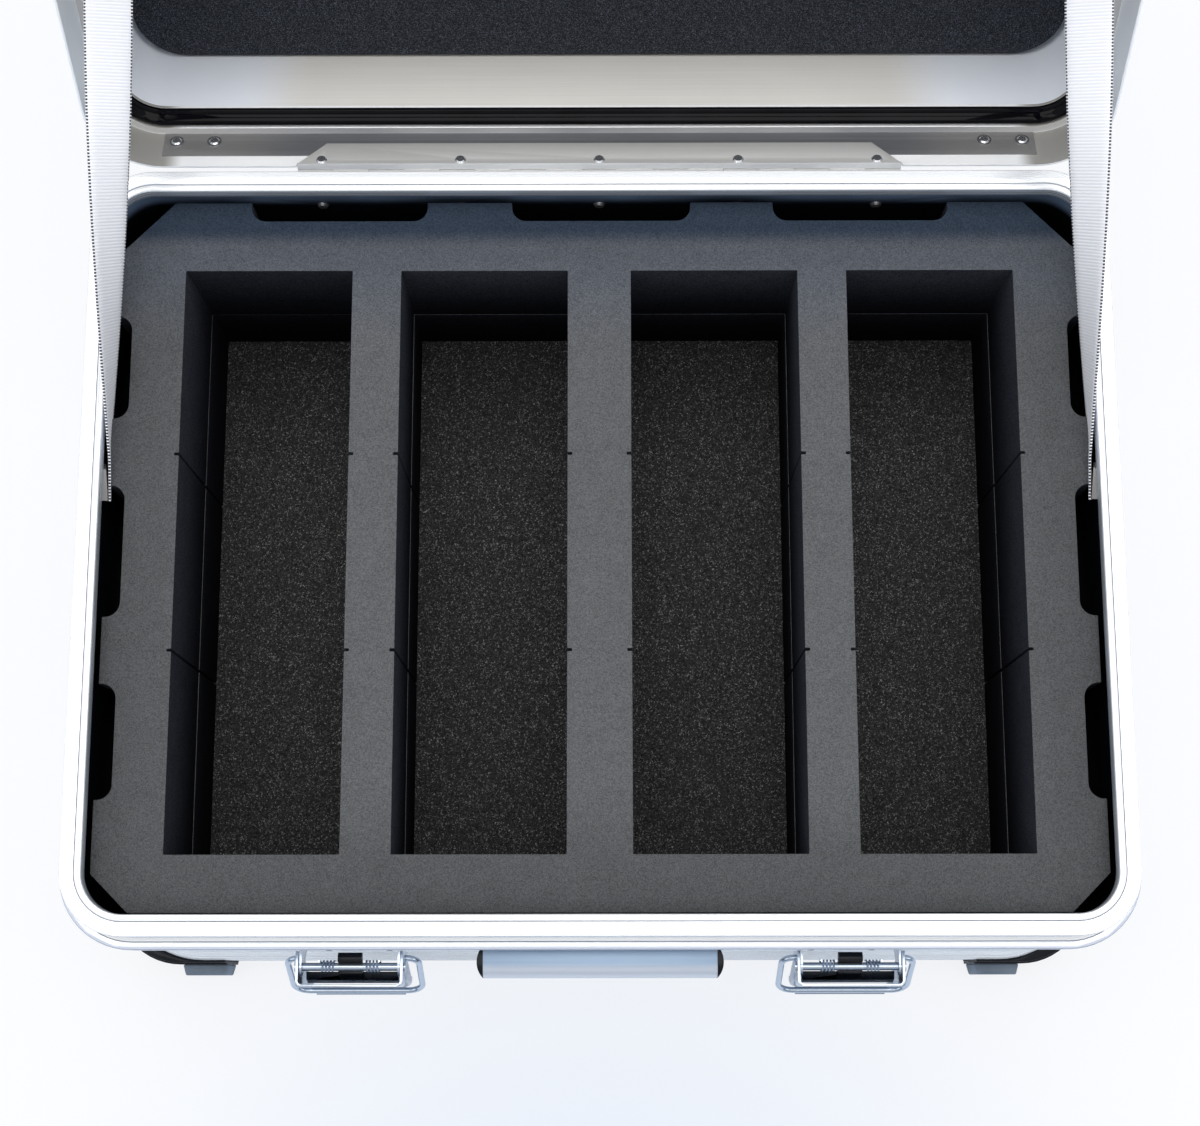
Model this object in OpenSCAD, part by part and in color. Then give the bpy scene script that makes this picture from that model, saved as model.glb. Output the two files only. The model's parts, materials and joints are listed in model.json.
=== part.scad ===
// Hard transport case with a hinged lid, draw latches, drop handles and a foam insert with long pockets.
// Frame: +Z up, +X right, +Y to the hinge side, origin on the floor under the middle of the base.
// The lid, the levers and the bails are modelled closed and are then turned to the open rest pose.

/* [Case] */
// Width over the ledge, left to right
case_w = 800; // [700:10:900]
// Depth over the ledge, front to rear
case_d = 600; // [520:10:700]
// Height of the base, floor to rim top
base_h = 320; // [290:5:380]
// Outer corner radius at the ledge
corner_r = 56; // [50:1:66]
// Sheet thickness of the walls
sheet_t = 1.5; // [1:0.1:2.5]
// Height of the bottom sheet over the floor
floor_gap = 8; // [6:1:14]
// How far the walls stand back from the ledge
wall_inset = 3.5; // [3:0.1:5]
// How far the pressed beads stand out of the walls
bead_out = 2.2; // [1:0.1:2.8]
// Height of one pressed bead
bead_h = 10; // [8:1:12]

/* [Rim] */
// Ledge edge to mouth, measured outwards
rim_w = 25; // [23:0.5:30]
// Width of the rim's flat top
rim_top_w = 16; // [14:0.5:18]
// Rim top down to the ledge
skirt_depth = 36; // [30:1:44]
// Height of the rim's inner face
rim_lip_h = 11; // [8:1:16]
// Height of the ledge's outer face
ledge_h = 18; // [16:1:24]
// Wall of the extruded frames
frame_t = 3; // [2:0.1:4]
// Mouth edge out to the lining boards
liner_set = 6; // [4:0.5:8]

/* [Lid] */
// Ledge up to the lid's top sheet
lid_h = 124; // [110:1:150]
// Opening angle of the lid at rest
lid_open = 118; // [95:1:125]
// Height of the gasket
gasket_h = 10; // [7:0.5:13]
// Thickness of the foam sheet in the lid
lid_foam_t = 12; // [6:1:20]
// How far the lid's corners stand over its top
lid_corner_out = 4; // [2:0.5:6]

/* [Foam insert] */
// Width of one pocket
pocket_w = 129; // [110:1:135]
// Width of the web in the middle
web_mid = 49; // [40:1:60]
// Width of the two webs beside it
web_side = 38; // [30:1:46]
// Front margin, foam edge to pockets
pocket_front = 42.5; // [36:0.5:60]
// Rear margin, pockets to foam edge
pocket_rear = 55.9; // [48:0.1:80]
// Rim top down to the foam
foam_drop = 22; // [18:1:30]
// Rim top down to the joint between the two layers
joint_drop = 130; // [110:1:150]
// Rim top down to the floor of the pockets
floor_drop = 204; // [180:1:220]
// Thickness of the speckled floor pad
pad_t = 30; // [20:1:40]
// Clearance from the foam to the mouth
foam_gap = 1.3; // [0.5:0.1:3]
// Width of the divider slots
slot_w = 2; // [1.5:0.1:4]
// Depth of the divider slots
slot_d = 3.8; // [2:0.1:6]
// Depth of the finger cutouts at the rear
rear_cut_d = 15; // [10:1:20]
// Depth of the finger cutouts at the sides
side_cut_d = 13; // [10:1:18]

/* [Hinge] */
// Radius of the hinge knuckles
knuckle_r = 3.5; // [3:0.1:4.5]
// Radius of the hinge pin
pin_r = 1.6; // [1.2:0.1:2]
// Length of the hinge
hinge_l = 476; // [400:2:520]
// Knuckles along the hinge
knuckle_n = 17; // [9:2:25]
// Spacing of the hinge rivets
rivet_pitch = 109.5; // [90:0.5:115]
// How far the cover strip over the hinge seam runs past the straight part, at each end
strip_over = 2; // [-10:1:4]

/* [Latches] */
// Middle of the case to the middle of a latch
latch_x = 187; // [160:1:210]
// Width over the lever
lever_w = 80; // [70:1:90]
// Width over the bail
bail_w = 104; // [98:1:120]
// Bail wire diameter
bail_d = 4.6; // [3.5:0.1:5.2]
// Bail pivot to the middle of its bar
bail_l = 56; // [50:1:60]
// Wall to the lever's front
latch_depth = 30.5; // [28:0.5:34]
// Lever travel
lever_travel = 110; // [80:5:120]

/* [Handles] */
// Width of a handle housing
handle_w = 175; // [150:5:190]
// Depth of a handle housing
handle_depth = 24; // [22:0.5:26]
// Ledge down to the front handle's pivot
handle_drop = 48; // [46:1:84]
// Middle of a side handle's pivot over the floor
side_handle_z = 179; // [178:1:238]
// Pivot to the middle of the grip
handle_reach = 72; // [64:1:80]
// Radius of the grip
grip_r = 11; // [9:0.5:12]

/* [Straps] */
// Width of the webbing
strap_w = 35; // [30:1:38]
// Thickness of the webbing
strap_t = 2; // [1.5:0.1:2.5]
// Clamp in the base, behind the middle of the case
strap_base_y = 42; // [36:1:48]
// Clamp in the base, down from the rim top
strap_base_drop = 38; // [36:1:42]
// Hinge axis to the clamp in the lid, along the lid
strap_lid_d = 235; // [200:1:250]
// Ledge to the clamp in the lid, into the lid
strap_lid_t = 35; // [34:0.5:38]
// Mouth edge in to the middle of the strap in the lid
strap_lid_in = 25; // [23:1:30]
// Mouth edge out to the middle of the strap in the base
strap_base_out = 0.8; // [0.5:0.1:1.2]
// Lean of the strap in the base, its upper edge inwards
strap_lean = 13; // [8:1:16]
// Length that stays flat at each end, before the twist
strap_flat = 32; // [26:1:50]

/* [Corners] */
// How far the bottom edge profiles stand past the ledge
edge_out = 5.5; // [2:0.5:6]
// How far the corner protectors stand past the ledge
guard_out = 9; // [7:0.5:11]
// Outer radius of the corner protectors
guard_r = 56; // [48:1:60]
// Length of a protector along the wall, from the ledge's side
guard_l = 86; // [70:1:110]
// Height of a protector
guard_h = 58; // [40:1:70]
// How far the feet stand out of the protectors
foot_out = 9; // [5:0.5:12]

/* [Hidden] */
$fn = 64;

// Shared clearances
gap = 0.3;
run = 0.06;

// Heights over the floor
ledge_z = base_h - skirt_depth;
foam_top_z = base_h - foam_drop;
joint_z = base_h - joint_drop;
pocket_floor_z = base_h - floor_drop;
pad_z = pocket_floor_z - pad_t;
tub_floor_z = floor_gap + sheet_t;
lid_top_z = ledge_z + lid_h;
handle_z = ledge_z - handle_drop;

// Half sizes of the outline at the ledge and of the mouth
hw = case_w / 2;
hd = case_d / 2;
mouth_hw = hw - rim_w;
mouth_hd = hd - rim_w;
wall_hw = hw - wall_inset;
wall_hd = hd - wall_inset;
liner_hw = mouth_hw + liner_set;
liner_hd = mouth_hd + liner_set;
foam_hw = mouth_hw - foam_gap;
foam_hd = mouth_hd - foam_gap;
pocket_l = 2 * foam_hd - pocket_front - pocket_rear;
strip_l = case_w - 2 * corner_r + 2 * strip_over;

// Hinge axis, just behind the ledge and level with it
hinge_y = hd + knuckle_r;
hinge_z = ledge_z;
leaf_t = 1.5;
base_rivet_z = ledge_z - 9;

// Lid frame, offsets from the ledge's outline, negative inwards
skirt_out = 2;
skirt_foot = 4;
skirt_in = 6.8;
skirt_step = rim_w - rim_top_w - 0.4;
skirt_lip = skirt_step + 4;
lip_gap = 1;
skirt_gap = 0.4;
gasket_z = base_h + skirt_gap;
web_z = gasket_z + gasket_h;
web_t = 2.4;
frame_top_z = base_h + 8;
lid_foam_z = lid_top_z - sheet_t - lid_foam_t;
skirt_rise = skirt_depth + 0.4;
lip_low = 16;
lip_high = 18.5;
hem = 24;

// Colours
alloy = [0.86, 0.87, 0.89];
bright = [0.92, 0.93, 0.94];
steel = [0.72, 0.73, 0.75];
dark = [0.10, 0.11, 0.13];
foam = [0.27, 0.28, 0.29];
speckled = [0.16, 0.16, 0.17];
black = [0.06, 0.06, 0.07];
grey = [0.35, 0.37, 0.40];
webbing = [0.90, 0.90, 0.94];

// Plain helpers

// A rectangle with round corners, centred on the origin
module round_rect(w, d, r) {
    square([w - 2 * r, d], center = true);
    square([w, d - 2 * r], center = true);
    for (sx = [-1, 1], sy = [-1, 1])
        translate([sx * (w / 2 - r), sy * (d / 2 - r)]) circle(r);
}

// Sweeps a flat section round the case's outline. In the section x runs outwards from
// the ledge's edge and y is the height over the floor.
module round_case(r = corner_r) {
    for (a = [0, 180]) rotate([0, 0, a]) translate([hw, 0, 0])
        rotate([90, 0, 0]) linear_extrude(case_d - 2 * r, center = true) children();
    for (a = [90, 270]) rotate([0, 0, a]) translate([hd, 0, 0])
        rotate([90, 0, 0]) linear_extrude(case_w - 2 * r, center = true) children();
    for (q = [[1, 1, 0], [-1, 1, 90], [-1, -1, 180], [1, -1, 270]])
        translate([q[0] * (hw - r), q[1] * (hd - r), 0]) rotate([0, 0, q[2]])
            rotate_extrude(angle = 90) translate([r, 0]) children();
}

// Extrudes a flat section, drawn in Y and Z, along X and centres it
module along_x(l) {
    rotate([90, 0, 90]) linear_extrude(l, center = true) children();
}

module rod_x(r, l) {
    rotate([0, 90, 0]) cylinder(r = r, h = l, center = true);
}

// Turns lid pieces from closed to the open rest pose
module opened() {
    translate([0, hinge_y, hinge_z]) rotate([-lid_open, 0, 0])
        translate([0, -hinge_y, -hinge_z]) children();
}

// A domed rivet head that sits on a face at z = 0, with its shank below
module rivet(head_r, head_h, shank_r, grip) {
    cylinder(r = shank_r, h = 2 * grip, center = true);
    cylinder(r1 = head_r, r2 = head_r * 0.72, h = head_h);
}

// A torsion spring round the X axis, one unbroken tube with straight legs at both ends
function coil_point(i, n, turns, r, pitch, leg) =
    let (rings = n * turns, k = i - 2)
    i < 2 ? [0, r, -leg * (2 - i) / 2]
    : i > rings + 2 ? [turns * pitch, r * cos(360 * turns) , r * sin(360 * turns) - leg * (rings + 2 - i) / 2]
    : [k / n * pitch, r * cos(360 * k / n), r * sin(360 * k / n)];

function coil_path(turns, r, pitch, leg) =
    let (n = 8, rings = n * turns)
    [for (i = [0 : rings + 4]) coil_point(i, n, turns, r, pitch, leg)];

function unit(v) = v / norm(v);

// The tube's rings are all turned about X by the path's own direction, so it never twists
function tube_ring(p, i, wire_r, sides) =
    let (last = len(p) - 1,
         t = unit(p[min(i + 1, last)] - p[max(i - 1, 0)]),
         u = unit(cross(t, [1, 0, 0])),
         v = cross(u, t))
    [for (s = [0 : sides - 1]) p[i] + wire_r * (cos(360 * s / sides) * u + sin(360 * s / sides) * v)];

module tube(p, wire_r, sides = 6) {
    last = len(p) - 1;
    points = [for (i = [0 : last]) each tube_ring(p, i, wire_r, sides)];
    walls = [for (i = [0 : last - 1], s = [0 : sides - 1])
        let (a = i * sides + s, b = i * sides + (s + 1) % sides)
        each [[a, b, b + sides], [a, b + sides, a + sides]]];
    caps = [for (s = [1 : sides - 2])
        each [[0, s + 1, s], [last * sides, last * sides + s, last * sides + s + 1]]];
    polyhedron(points, concat(walls, caps));
}

// Least gap between two curls of a spring, for the printed check
function coil_gap(turns, r, pitch, wire_r) = pitch * sin(atan2(2 * PI * r, pitch)) - 2 * wire_r;

// Base

// Wall sections, from the mouth's side to the outside
module bead_section(z) {
    polygon([
        [-wall_inset - sheet_t, z - bead_h / 2],
        [-wall_inset - sheet_t, z + bead_h / 2],
        [-wall_inset, z + bead_h / 2],
        [-wall_inset + bead_out, z + bead_h / 2 - 4],
        [-wall_inset + bead_out, z - bead_h / 2 + 4],
        [-wall_inset, z - bead_h / 2]
    ]);
}

tub_top_z = ledge_z - frame_t;
base_bead_low = floor_gap + guard_h + bead_h;
base_bead_high = base_bead_low + 1.4 * bead_h;

module base_shell() color(alloy) difference() {
    union() {
        translate([0, 0, floor_gap])
            linear_extrude(sheet_t)
                round_rect(2 * wall_hw - sheet_t, 2 * wall_hd - sheet_t, corner_r - wall_inset - sheet_t / 2);
        round_case() union() {
            translate([-wall_inset - sheet_t, floor_gap]) square([sheet_t, tub_top_z - floor_gap]);
            bead_section(base_bead_low);
            bead_section(base_bead_high);
        }
    }
    base_holes(2.2);
}

// Top face, ledge, flange and inner lip of the mouth frame
module rim_section() {
    groove_x = -rim_w + 5.3;
    top_x = -rim_w + rim_top_w;
    translate([0, base_h]) polygon([
        [-rim_w, -0.8], [-rim_w + 0.8, 0],
        [groove_x - 0.35, 0], [groove_x, -0.8], [groove_x + 0.35, 0],
        [top_x - 0.5, 0], [top_x, -0.5], [top_x, -skirt_depth],
        [top_x + 2.7, -skirt_depth], [top_x + 3, -skirt_depth - 0.6], [top_x + 3.3, -skirt_depth],
        [-0.8, -skirt_depth], [0, -skirt_depth - 0.8],
        [0, -skirt_depth - ledge_h + 1], [-1, -skirt_depth - ledge_h],
        [-wall_inset, -skirt_depth - ledge_h], [-wall_inset, -skirt_depth - frame_t],
        [top_x - frame_t + 0.5, -skirt_depth - frame_t], [top_x - frame_t + 0.5, -frame_t + 0.5],
        [-rim_w + frame_t, -frame_t + 0.5], [-rim_w + frame_t, -rim_lip_h],
        [-rim_w, -rim_lip_h]
    ]);
}

module base_rim() color(bright) difference() {
    round_case() rim_section();
    base_holes(2.2);
}

// A profile round the bottom edge, with wider corners than the case, so that the protectors fit round it
edge_h = guard_h + 4;
edge_fit = 0.1;
edge_r = corner_r + edge_out + 11;

module edge_outline(grow) {
    round_rect(case_w + 2 * edge_out + 2 * grow, case_d + 2 * edge_out + 2 * grow, edge_r + grow);
}

module base_edge_profiles() color(alloy) difference() {
    union() {
        translate([0, 0, floor_gap]) linear_extrude(edge_h - 6) edge_outline(0);
        translate([0, 0, floor_gap + edge_h - 6]) linear_extrude(3) edge_outline(-1.2);
        translate([0, 0, floor_gap + edge_h - 3]) linear_extrude(3) edge_outline(-3);
    }
    translate([0, 0, floor_gap - 1]) linear_extrude(edge_h + 2) round_rect(2 * wall_hw, 2 * wall_hd, corner_r - wall_inset);
}

// The lining has a thick lower part and a thin tongue that rises behind the rim's lip
liner_t = wall_hw - sheet_t - liner_hw;
tongue_t = rim_top_w - frame_t - liner_set;
tongue_top_z = base_h - rim_lip_h - 1;

module liner_section() {
    polygon([
        [0, tub_floor_z], [liner_t, tub_floor_z], [liner_t, tub_top_z - 1],
        [tongue_t, tub_top_z - 1], [tongue_t, tongue_top_z], [0, tongue_top_z]
    ]);
}

module wall_liner() color(dark) difference() {
    round_case() translate([liner_set - rim_w, 0]) liner_section();
    base_holes(2.2);
}

// Strips under the bottom, the middle one under the origin
module bottom_runners() color(black)
    for (x = [-1, 0, 1]) translate([x * case_w * 0.27, 0, 0])
        along_x(30) polygon([
            [-case_d * 0.4, 0], [case_d * 0.4, 0], [case_d * 0.4 + 6, floor_gap],
            [-case_d * 0.4 - 6, floor_gap]
        ]);

// One corner of the case as a flat outline: outside out past the ledge, inside at the walls
module guard_outline(out, l) {
    intersection() {
        difference() {
            round_rect(case_w + 2 * out, case_d + 2 * out, guard_r);
            round_rect(2 * wall_hw, 2 * wall_hd, corner_r - wall_inset);
        }
        for (sx = [-1, 1], sy = [-1, 1])
            translate([sx * (hw - l / 2 + out / 2 + 10), sy * (hd - l / 2 + out / 2 + 10)])
                square([l + out + 20, l + out + 20], center = true);
    }
}

// Plates that carry the case at its corners, under the tub
module guard_sole() {
    intersection() {
        round_rect(case_w + 2 * guard_out - 4, case_d + 2 * guard_out - 4, guard_r);
        for (sx = [-1, 1], sy = [-1, 1])
            translate([sx * (hw - guard_l / 2 + guard_out / 2), sy * (hd - guard_l / 2 + guard_out / 2)])
                square([guard_l + guard_out, guard_l + guard_out], center = true);
    }
}

// Each protector wraps round the bottom profile, thin at its ends and thick at the corner
module corner_protectors() color(black) {
    guard_low = floor_gap / 3;
    linear_extrude(floor_gap - edge_fit) guard_sole();
    translate([0, 0, guard_low]) difference() {
        union() {
            linear_extrude(floor_gap + guard_h - 8 - guard_low) guard_outline(guard_out, guard_l);
            linear_extrude(floor_gap + guard_h - guard_low) guard_outline(guard_out - 1.5, guard_l);
        }
        translate([0, 0, -1]) linear_extrude(floor_gap + guard_h) edge_outline(edge_fit);
    }
}

// Grey feet on the protectors, at the front and the rear
foot_w = 38;
module corner_feet() color(grey)
    for (sx = [-1, 1], sy = [-1, 1])
        translate([sx * (hw - guard_l + foot_w / 2 + 2), sy * (hd + guard_out), 0])
            linear_extrude(guard_h - 16) polygon([
                [-foot_w / 2, 0], [foot_w / 2, 0],
                [foot_w / 2 - 2.5, sy * foot_out], [-foot_w / 2 + 2.5, sy * foot_out]
            ]);

// Foam insert

// A finger cutout in the middle of the foam's edge y = 0, reaching d inwards
module finger_cut(l, d, r = 11) {
    translate([-l / 2, -d + r]) square([l, d]);
    translate([-l / 2 + r, -d]) square([l - 2 * r, 2 * r]);
    for (s = [-1, 1]) translate([s * (l / 2 - r), -d + r]) circle(r);
}

rear_cuts = [[-202.5, 137], [1.5, 139], [203.5, 136]];
side_cuts = [[140.5, 81], [-3.5, 101], [-148, 86]];
rear_cham = [42, 44];
front_cham = [28, 29];
slot_y = [71.8, -79.5];

// Middle of each pocket in X
pocket_x = [
    -web_mid / 2 - 1.5 * pocket_w - web_side, -web_mid / 2 - pocket_w / 2,
    web_mid / 2 + pocket_w / 2, web_mid / 2 + 1.5 * pocket_w + web_side
];
pocket_y = -foam_hd + pocket_front + pocket_l / 2;

module pockets() {
    for (x = pocket_x) translate([x, pocket_y]) {
        square([pocket_w, pocket_l], center = true);
        for (y = slot_y) translate([0, y - pocket_y]) square([pocket_w + 2 * slot_d, slot_w], center = true);
    }
}

module foam_blank() {
    polygon([
        [-foam_hw, -foam_hd + front_cham[1]], [-foam_hw + front_cham[0], -foam_hd],
        [foam_hw - front_cham[0], -foam_hd], [foam_hw, -foam_hd + front_cham[1]],
        [foam_hw, foam_hd - rear_cham[1]], [foam_hw - rear_cham[0], foam_hd],
        [-foam_hw + rear_cham[0], foam_hd], [-foam_hw, foam_hd - rear_cham[1]]
    ]);
}

module foam_cuts() {
    for (c = rear_cuts) translate([c[0], foam_hd]) finger_cut(c[1], rear_cut_d);
    for (c = side_cuts) {
        translate([-foam_hw, c[0]]) rotate([0, 0, 90]) finger_cut(c[1], side_cut_d);
        translate([foam_hw, c[0]]) rotate([0, 0, -90]) finger_cut(c[1], side_cut_d);
    }
}

// Channels in the foam's sides, which the straps rise through
strap_cut_d = 6.5;
strap_cut_l = 76;
module strap_cuts() {
    for (m = [-1, 1]) translate([m * (foam_hw - strap_cut_d / 2 + 1), strap_base_y + 2 + strap_cut_l / 2])
        square([strap_cut_d + 2, strap_cut_l], center = true);
}

// The top layer is glued up from planks: one at the front, one at the rear, two at the sides
// and the three webs between the pockets
pocket_edge_x = pocket_x[3] + pocket_w / 2;

module foam_plank(x_low, x_high, y_low, y_high) translate([0, 0, joint_z])
    linear_extrude(foam_top_z - joint_z) difference() {
        intersection() {
            foam_blank();
            translate([x_low, y_low]) square([x_high - x_low, y_high - y_low]);
        }
        pockets();
        foam_cuts();
        strap_cuts();
    }

module foam_top_front() color(foam)
    foam_plank(-foam_hw, foam_hw, -foam_hd, pocket_y - pocket_l / 2);

module foam_top_rear() color(foam)
    foam_plank(-foam_hw, foam_hw, pocket_y + pocket_l / 2, foam_hd);

module foam_top_left() color(foam)
    foam_plank(-foam_hw, -pocket_edge_x, pocket_y - pocket_l / 2, pocket_y + pocket_l / 2);

module foam_top_right() color(foam)
    foam_plank(pocket_edge_x, foam_hw, pocket_y - pocket_l / 2, pocket_y + pocket_l / 2);

module foam_top_webs() color(foam)
    foam_plank(-pocket_edge_x, pocket_edge_x, pocket_y - pocket_l / 2, pocket_y + pocket_l / 2);

module foam_lower_layer() color(foam) translate([0, 0, pocket_floor_z])
    linear_extrude(joint_z - pocket_floor_z) difference() {
        foam_blank();
        pockets();
    }

module foam_floor_pad() color(speckled) translate([0, 0, pad_z])
    linear_extrude(pad_t) foam_blank();

module foam_base_block() color(foam) translate([0, 0, tub_floor_z])
    linear_extrude(pad_z - tub_floor_z) foam_blank();

// Hinge

hinge_rivets_x = [for (i = [-2 : 2]) i * rivet_pitch];
knuckle_step = hinge_l / knuckle_n;

module knuckles(first) {
    for (i = [first : 2 : knuckle_n - 1])
        translate([(i + 0.5) * knuckle_step - hinge_l / 2, hinge_y, hinge_z])
            rod_x(knuckle_r, knuckle_step - gap);
}

module knuckle_bore() {
    translate([0, hinge_y, hinge_z]) rod_x(pin_r + run, hinge_l + 2);
}

// The fixed leaf hangs from its knuckles on the outer face of the ledge
module hinge_leaf_base() color(steel) difference() {
    leaf_low = ledge_z - ledge_h + 2;
    union() {
        translate([-hinge_l / 2, hd, leaf_low]) cube([hinge_l, leaf_t, ledge_z - knuckle_r - 1 - leaf_low]);
        intersection() {
            knuckles(0);
            translate([0, 0, 0]) cube([case_w, 2 * case_d, 2 * base_h], center = true);
        }
        for (i = [0 : 2 : knuckle_n - 1])
            translate([i * knuckle_step - hinge_l / 2 + gap / 2, hd, ledge_z - knuckle_r - 1.5])
                cube([knuckle_step - gap, leaf_t, knuckle_r + 1.5]);
    }
    knuckle_bore();
    base_holes(2.2);
}

module hinge_pin() color(steel)
    translate([0, hinge_y, hinge_z]) rod_x(pin_r, hinge_l);

// Holes through the ledge flange, the wall and the board, for the long hinge rivets
module base_holes(r) {
    for (x = hinge_rivets_x) translate([x, hd, base_rivet_z])
        rotate([90, 0, 0]) cylinder(r = r, h = 4 * (hd - liner_hd), center = true);
}

module hinge_rivets_base() color(bright)
    for (x = hinge_rivets_x) translate([x, 0, base_rivet_z]) {
        translate([0, liner_hd, 0]) rotate([90, 0, 0]) cylinder(r1 = 4.8, r2 = 3.4, h = 2);
        translate([0, hd + leaf_t, 0]) rotate([-90, 0, 0]) cylinder(r1 = 4, r2 = 2.8, h = 1.6);
        translate([0, liner_hd, 0]) rotate([-90, 0, 0]) cylinder(r = 2.1, h = hd + leaf_t - liner_hd);
    }

// Latches

latch_y = -wall_hd;
plate_t = 1.5;
ear_t = 2;
cheek_t = 2;
axle_r = 3;
lever_front_y = latch_y - latch_depth;
axle_y = latch_y - 15.5;
axle_z = ledge_z - ledge_h - 16;
bail_dy = 6.5;
bail_dz = 11.5;
bail_y = axle_y + bail_dy;
bail_z = axle_z - bail_dz;
lever_top_z = axle_z + 9;
lever_low_z = bail_z - bail_l - 3;
ear_x = lever_w / 2 - cheek_t - gap;
bail_r = bail_d / 2;
// Rest angle of the bail off straight down, so that its bar lies on the lever's front
bail_rest = asin((bail_y - lever_front_y + gap + bail_r) / bail_l);

module at_latch(s) {
    translate([s * latch_x, 0, 0]) children();
}

module latch_plate(s) color(steel) at_latch(s) difference() {
    plate_low = lever_low_z + 4;
    plate_top = ledge_z - ledge_h - 1;
    union() {
        translate([-ear_x, latch_y - plate_t, plate_low]) cube([2 * ear_x, plate_t, plate_top - plate_low]);
        for (m = [-1, 1]) translate([m * (ear_x - ear_t / 2), 0, 0]) along_x(ear_t) union() {
            polygon([
                [latch_y, axle_z - 24], [latch_y, axle_z + 6.5], [axle_y - 2, axle_z + 6.5],
                [axle_y - 2, axle_z - 6.5]
            ]);
            translate([axle_y, axle_z]) circle(6.8);
        }
    }
    translate([0, axle_y, axle_z]) rod_x(axle_r + run, lever_w);
    latch_rivet_places() cylinder(r = 2.1, h = 20, center = true);
}

// Four rivets in each latch plate, below and above the axle
module latch_rivet_places() {
    for (x = [-1, 1], z = [axle_z - 8, lever_low_z + 14])
        translate([x * (ear_x - 14), latch_y - plate_t, z]) rotate([90, 0, 0]) children();
}

module latch_rivets() color(steel)
    for (s = [-1, 1]) at_latch(s) latch_rivet_places() {
        cylinder(r1 = 4, r2 = 2.8, h = 1.6);
        translate([0, 0, -plate_t]) cylinder(r = 2, h = plate_t);
    }

module latch_axles() color(steel)
    for (s = [-1, 1]) at_latch(s) translate([0, axle_y, axle_z]) {
        rod_x(axle_r, lever_w + 0.6);
        for (m = [-1, 1]) translate([m * (lever_w / 2 + 0.9), 0, 0]) rod_x(axle_r + 1.2, 1.2);
    }

// The lever is a channel, open to the wall, with round front corners and a finger lip at its foot
module latch_lever(s) color(steel) at_latch(s) difference() {
    r = 5;
    union() {
        translate([0, 0, lever_low_z]) linear_extrude(lever_top_z - lever_low_z) difference() {
            lever_plan(0, r);
            lever_plan(cheek_t, r - cheek_t);
        }
        translate([0, lever_front_y, lever_low_z]) along_x(lever_w - 2 * r) polygon([
            [0, 0], [cheek_t, 0], [cheek_t, -4], [-6, -6], [-6, -4.2], [-1.5, -2]
        ]);
    }
    lever_trim();
    translate([0, axle_y, axle_z]) rod_x(axle_r + run, lever_w + 2);
    translate([0, bail_y, bail_z]) rod_x(bail_r + run, lever_w + 2);
}

module lever_plan(inset, r) {
    w = lever_w - 2 * inset;
    back_y = latch_y - plate_t - 2.5;
    y0 = lever_front_y + inset;
    translate([-w / 2, y0 + r]) square([w, back_y - y0 - r + (inset > 0 ? 2 : 0)]);
    translate([-w / 2 + r, y0]) square([w - 2 * r, 2 * r]);
    for (m = [-1, 1]) translate([m * (w / 2 - r), y0 + r]) circle(r);
}

// The cheeks slope away towards the lever's foot
module lever_trim() {
    along_x(lever_w + 2) polygon([
        [latch_y + 1, bail_z - 9], [latch_y - 7, bail_z - 9], [lever_front_y + 8, lever_low_z + 8],
        [lever_front_y + 8, lever_low_z - 1], [latch_y + 1, lever_low_z - 1]
    ]);
}

// A bent wire: two arms that hang from z = 0 and the bar between them, with round bends
module bent_wire(arm_x, l, r, bend, top) {
    for (m = [0, 1]) mirror([m, 0, 0]) {
        translate([arm_x, 0, -l + bend]) cylinder(r = r, h = l - bend - top);
        translate([arm_x - bend, 0, -l + bend]) rotate([90, 0, 0]) rotate([0, 0, -90])
            rotate_extrude(angle = 90) translate([bend, 0]) circle(r);
    }
    translate([0, 0, -l]) rod_x(r, 2 * (arm_x - bend));
}

// The bail's arms end in stubs that turn inwards, into the lever's cheeks
module bail_wire() {
    low_bend = 12;
    bend = 9.4;
    arm = bail_w / 2 - bail_r;
    stub_in = lever_w / 2 - cheek_t + 0.1;
    bent_wire(arm, bail_l, bail_r, low_bend, bend);
    for (m = [0, 1]) mirror([m, 0, 0]) {
        translate([stub_in, 0, 0]) rotate([0, 90, 0]) cylinder(r = bail_r, h = arm - bend - stub_in);
        translate([arm - bend, 0, -bend]) rotate([90, 0, 0])
            rotate_extrude(angle = 90) translate([bend, 0]) circle(bail_r);
    }
}

module latch_bail(s) color(bright) at_latch(s)
    translate([0, bail_y, bail_z]) rotate([-bail_rest, 0, 0]) bail_wire();

// The catch rides on the axle: a nose towards the wall and a wide press tail behind the lever's front
catch_w = 18;
tail_w = 2 * (ear_x - ear_t - 3 * gap);
module latch_catch(s) color(black) at_latch(s) difference() {
    translate([0, axle_y, axle_z]) {
        along_x(catch_w) polygon([
            [-5, 3], [-2, 5.5], [7, 6], [10.5, 3.5], [10.5, -1], [5, -3], [2, -5.5],
            [-2, -8], [-7, -24], [-11.5, -24], [-8, -8], [-5.5, -3]
        ]);
        along_x(tail_w) polygon([[-3.4, -13], [-7, -24.5], [-12, -24.5], [-9.6, -15]]);
    }
    translate([0, axle_y, axle_z]) rod_x(axle_r + run, catch_w + 2);
}

// Two torsion springs on the axle, one each side of the catch
spring_turns = 4;
spring_wire = 0.8;
spring_pitch = 2.6;
spring_mean = axle_r + spring_wire + 0.5;
module latch_springs(s) color(bright) at_latch(s)
    for (m = [-1, 1]) translate([m * (catch_w / 2 + 3), axle_y, axle_z]) mirror([m < 0 ? 1 : 0, 0, 0])
        tube(coil_path(spring_turns, spring_mean, spring_pitch, 9), spring_wire);

// Handles, drawn at the wall y = 0 with the pivot at z = 0, reaching out to -Y

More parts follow.
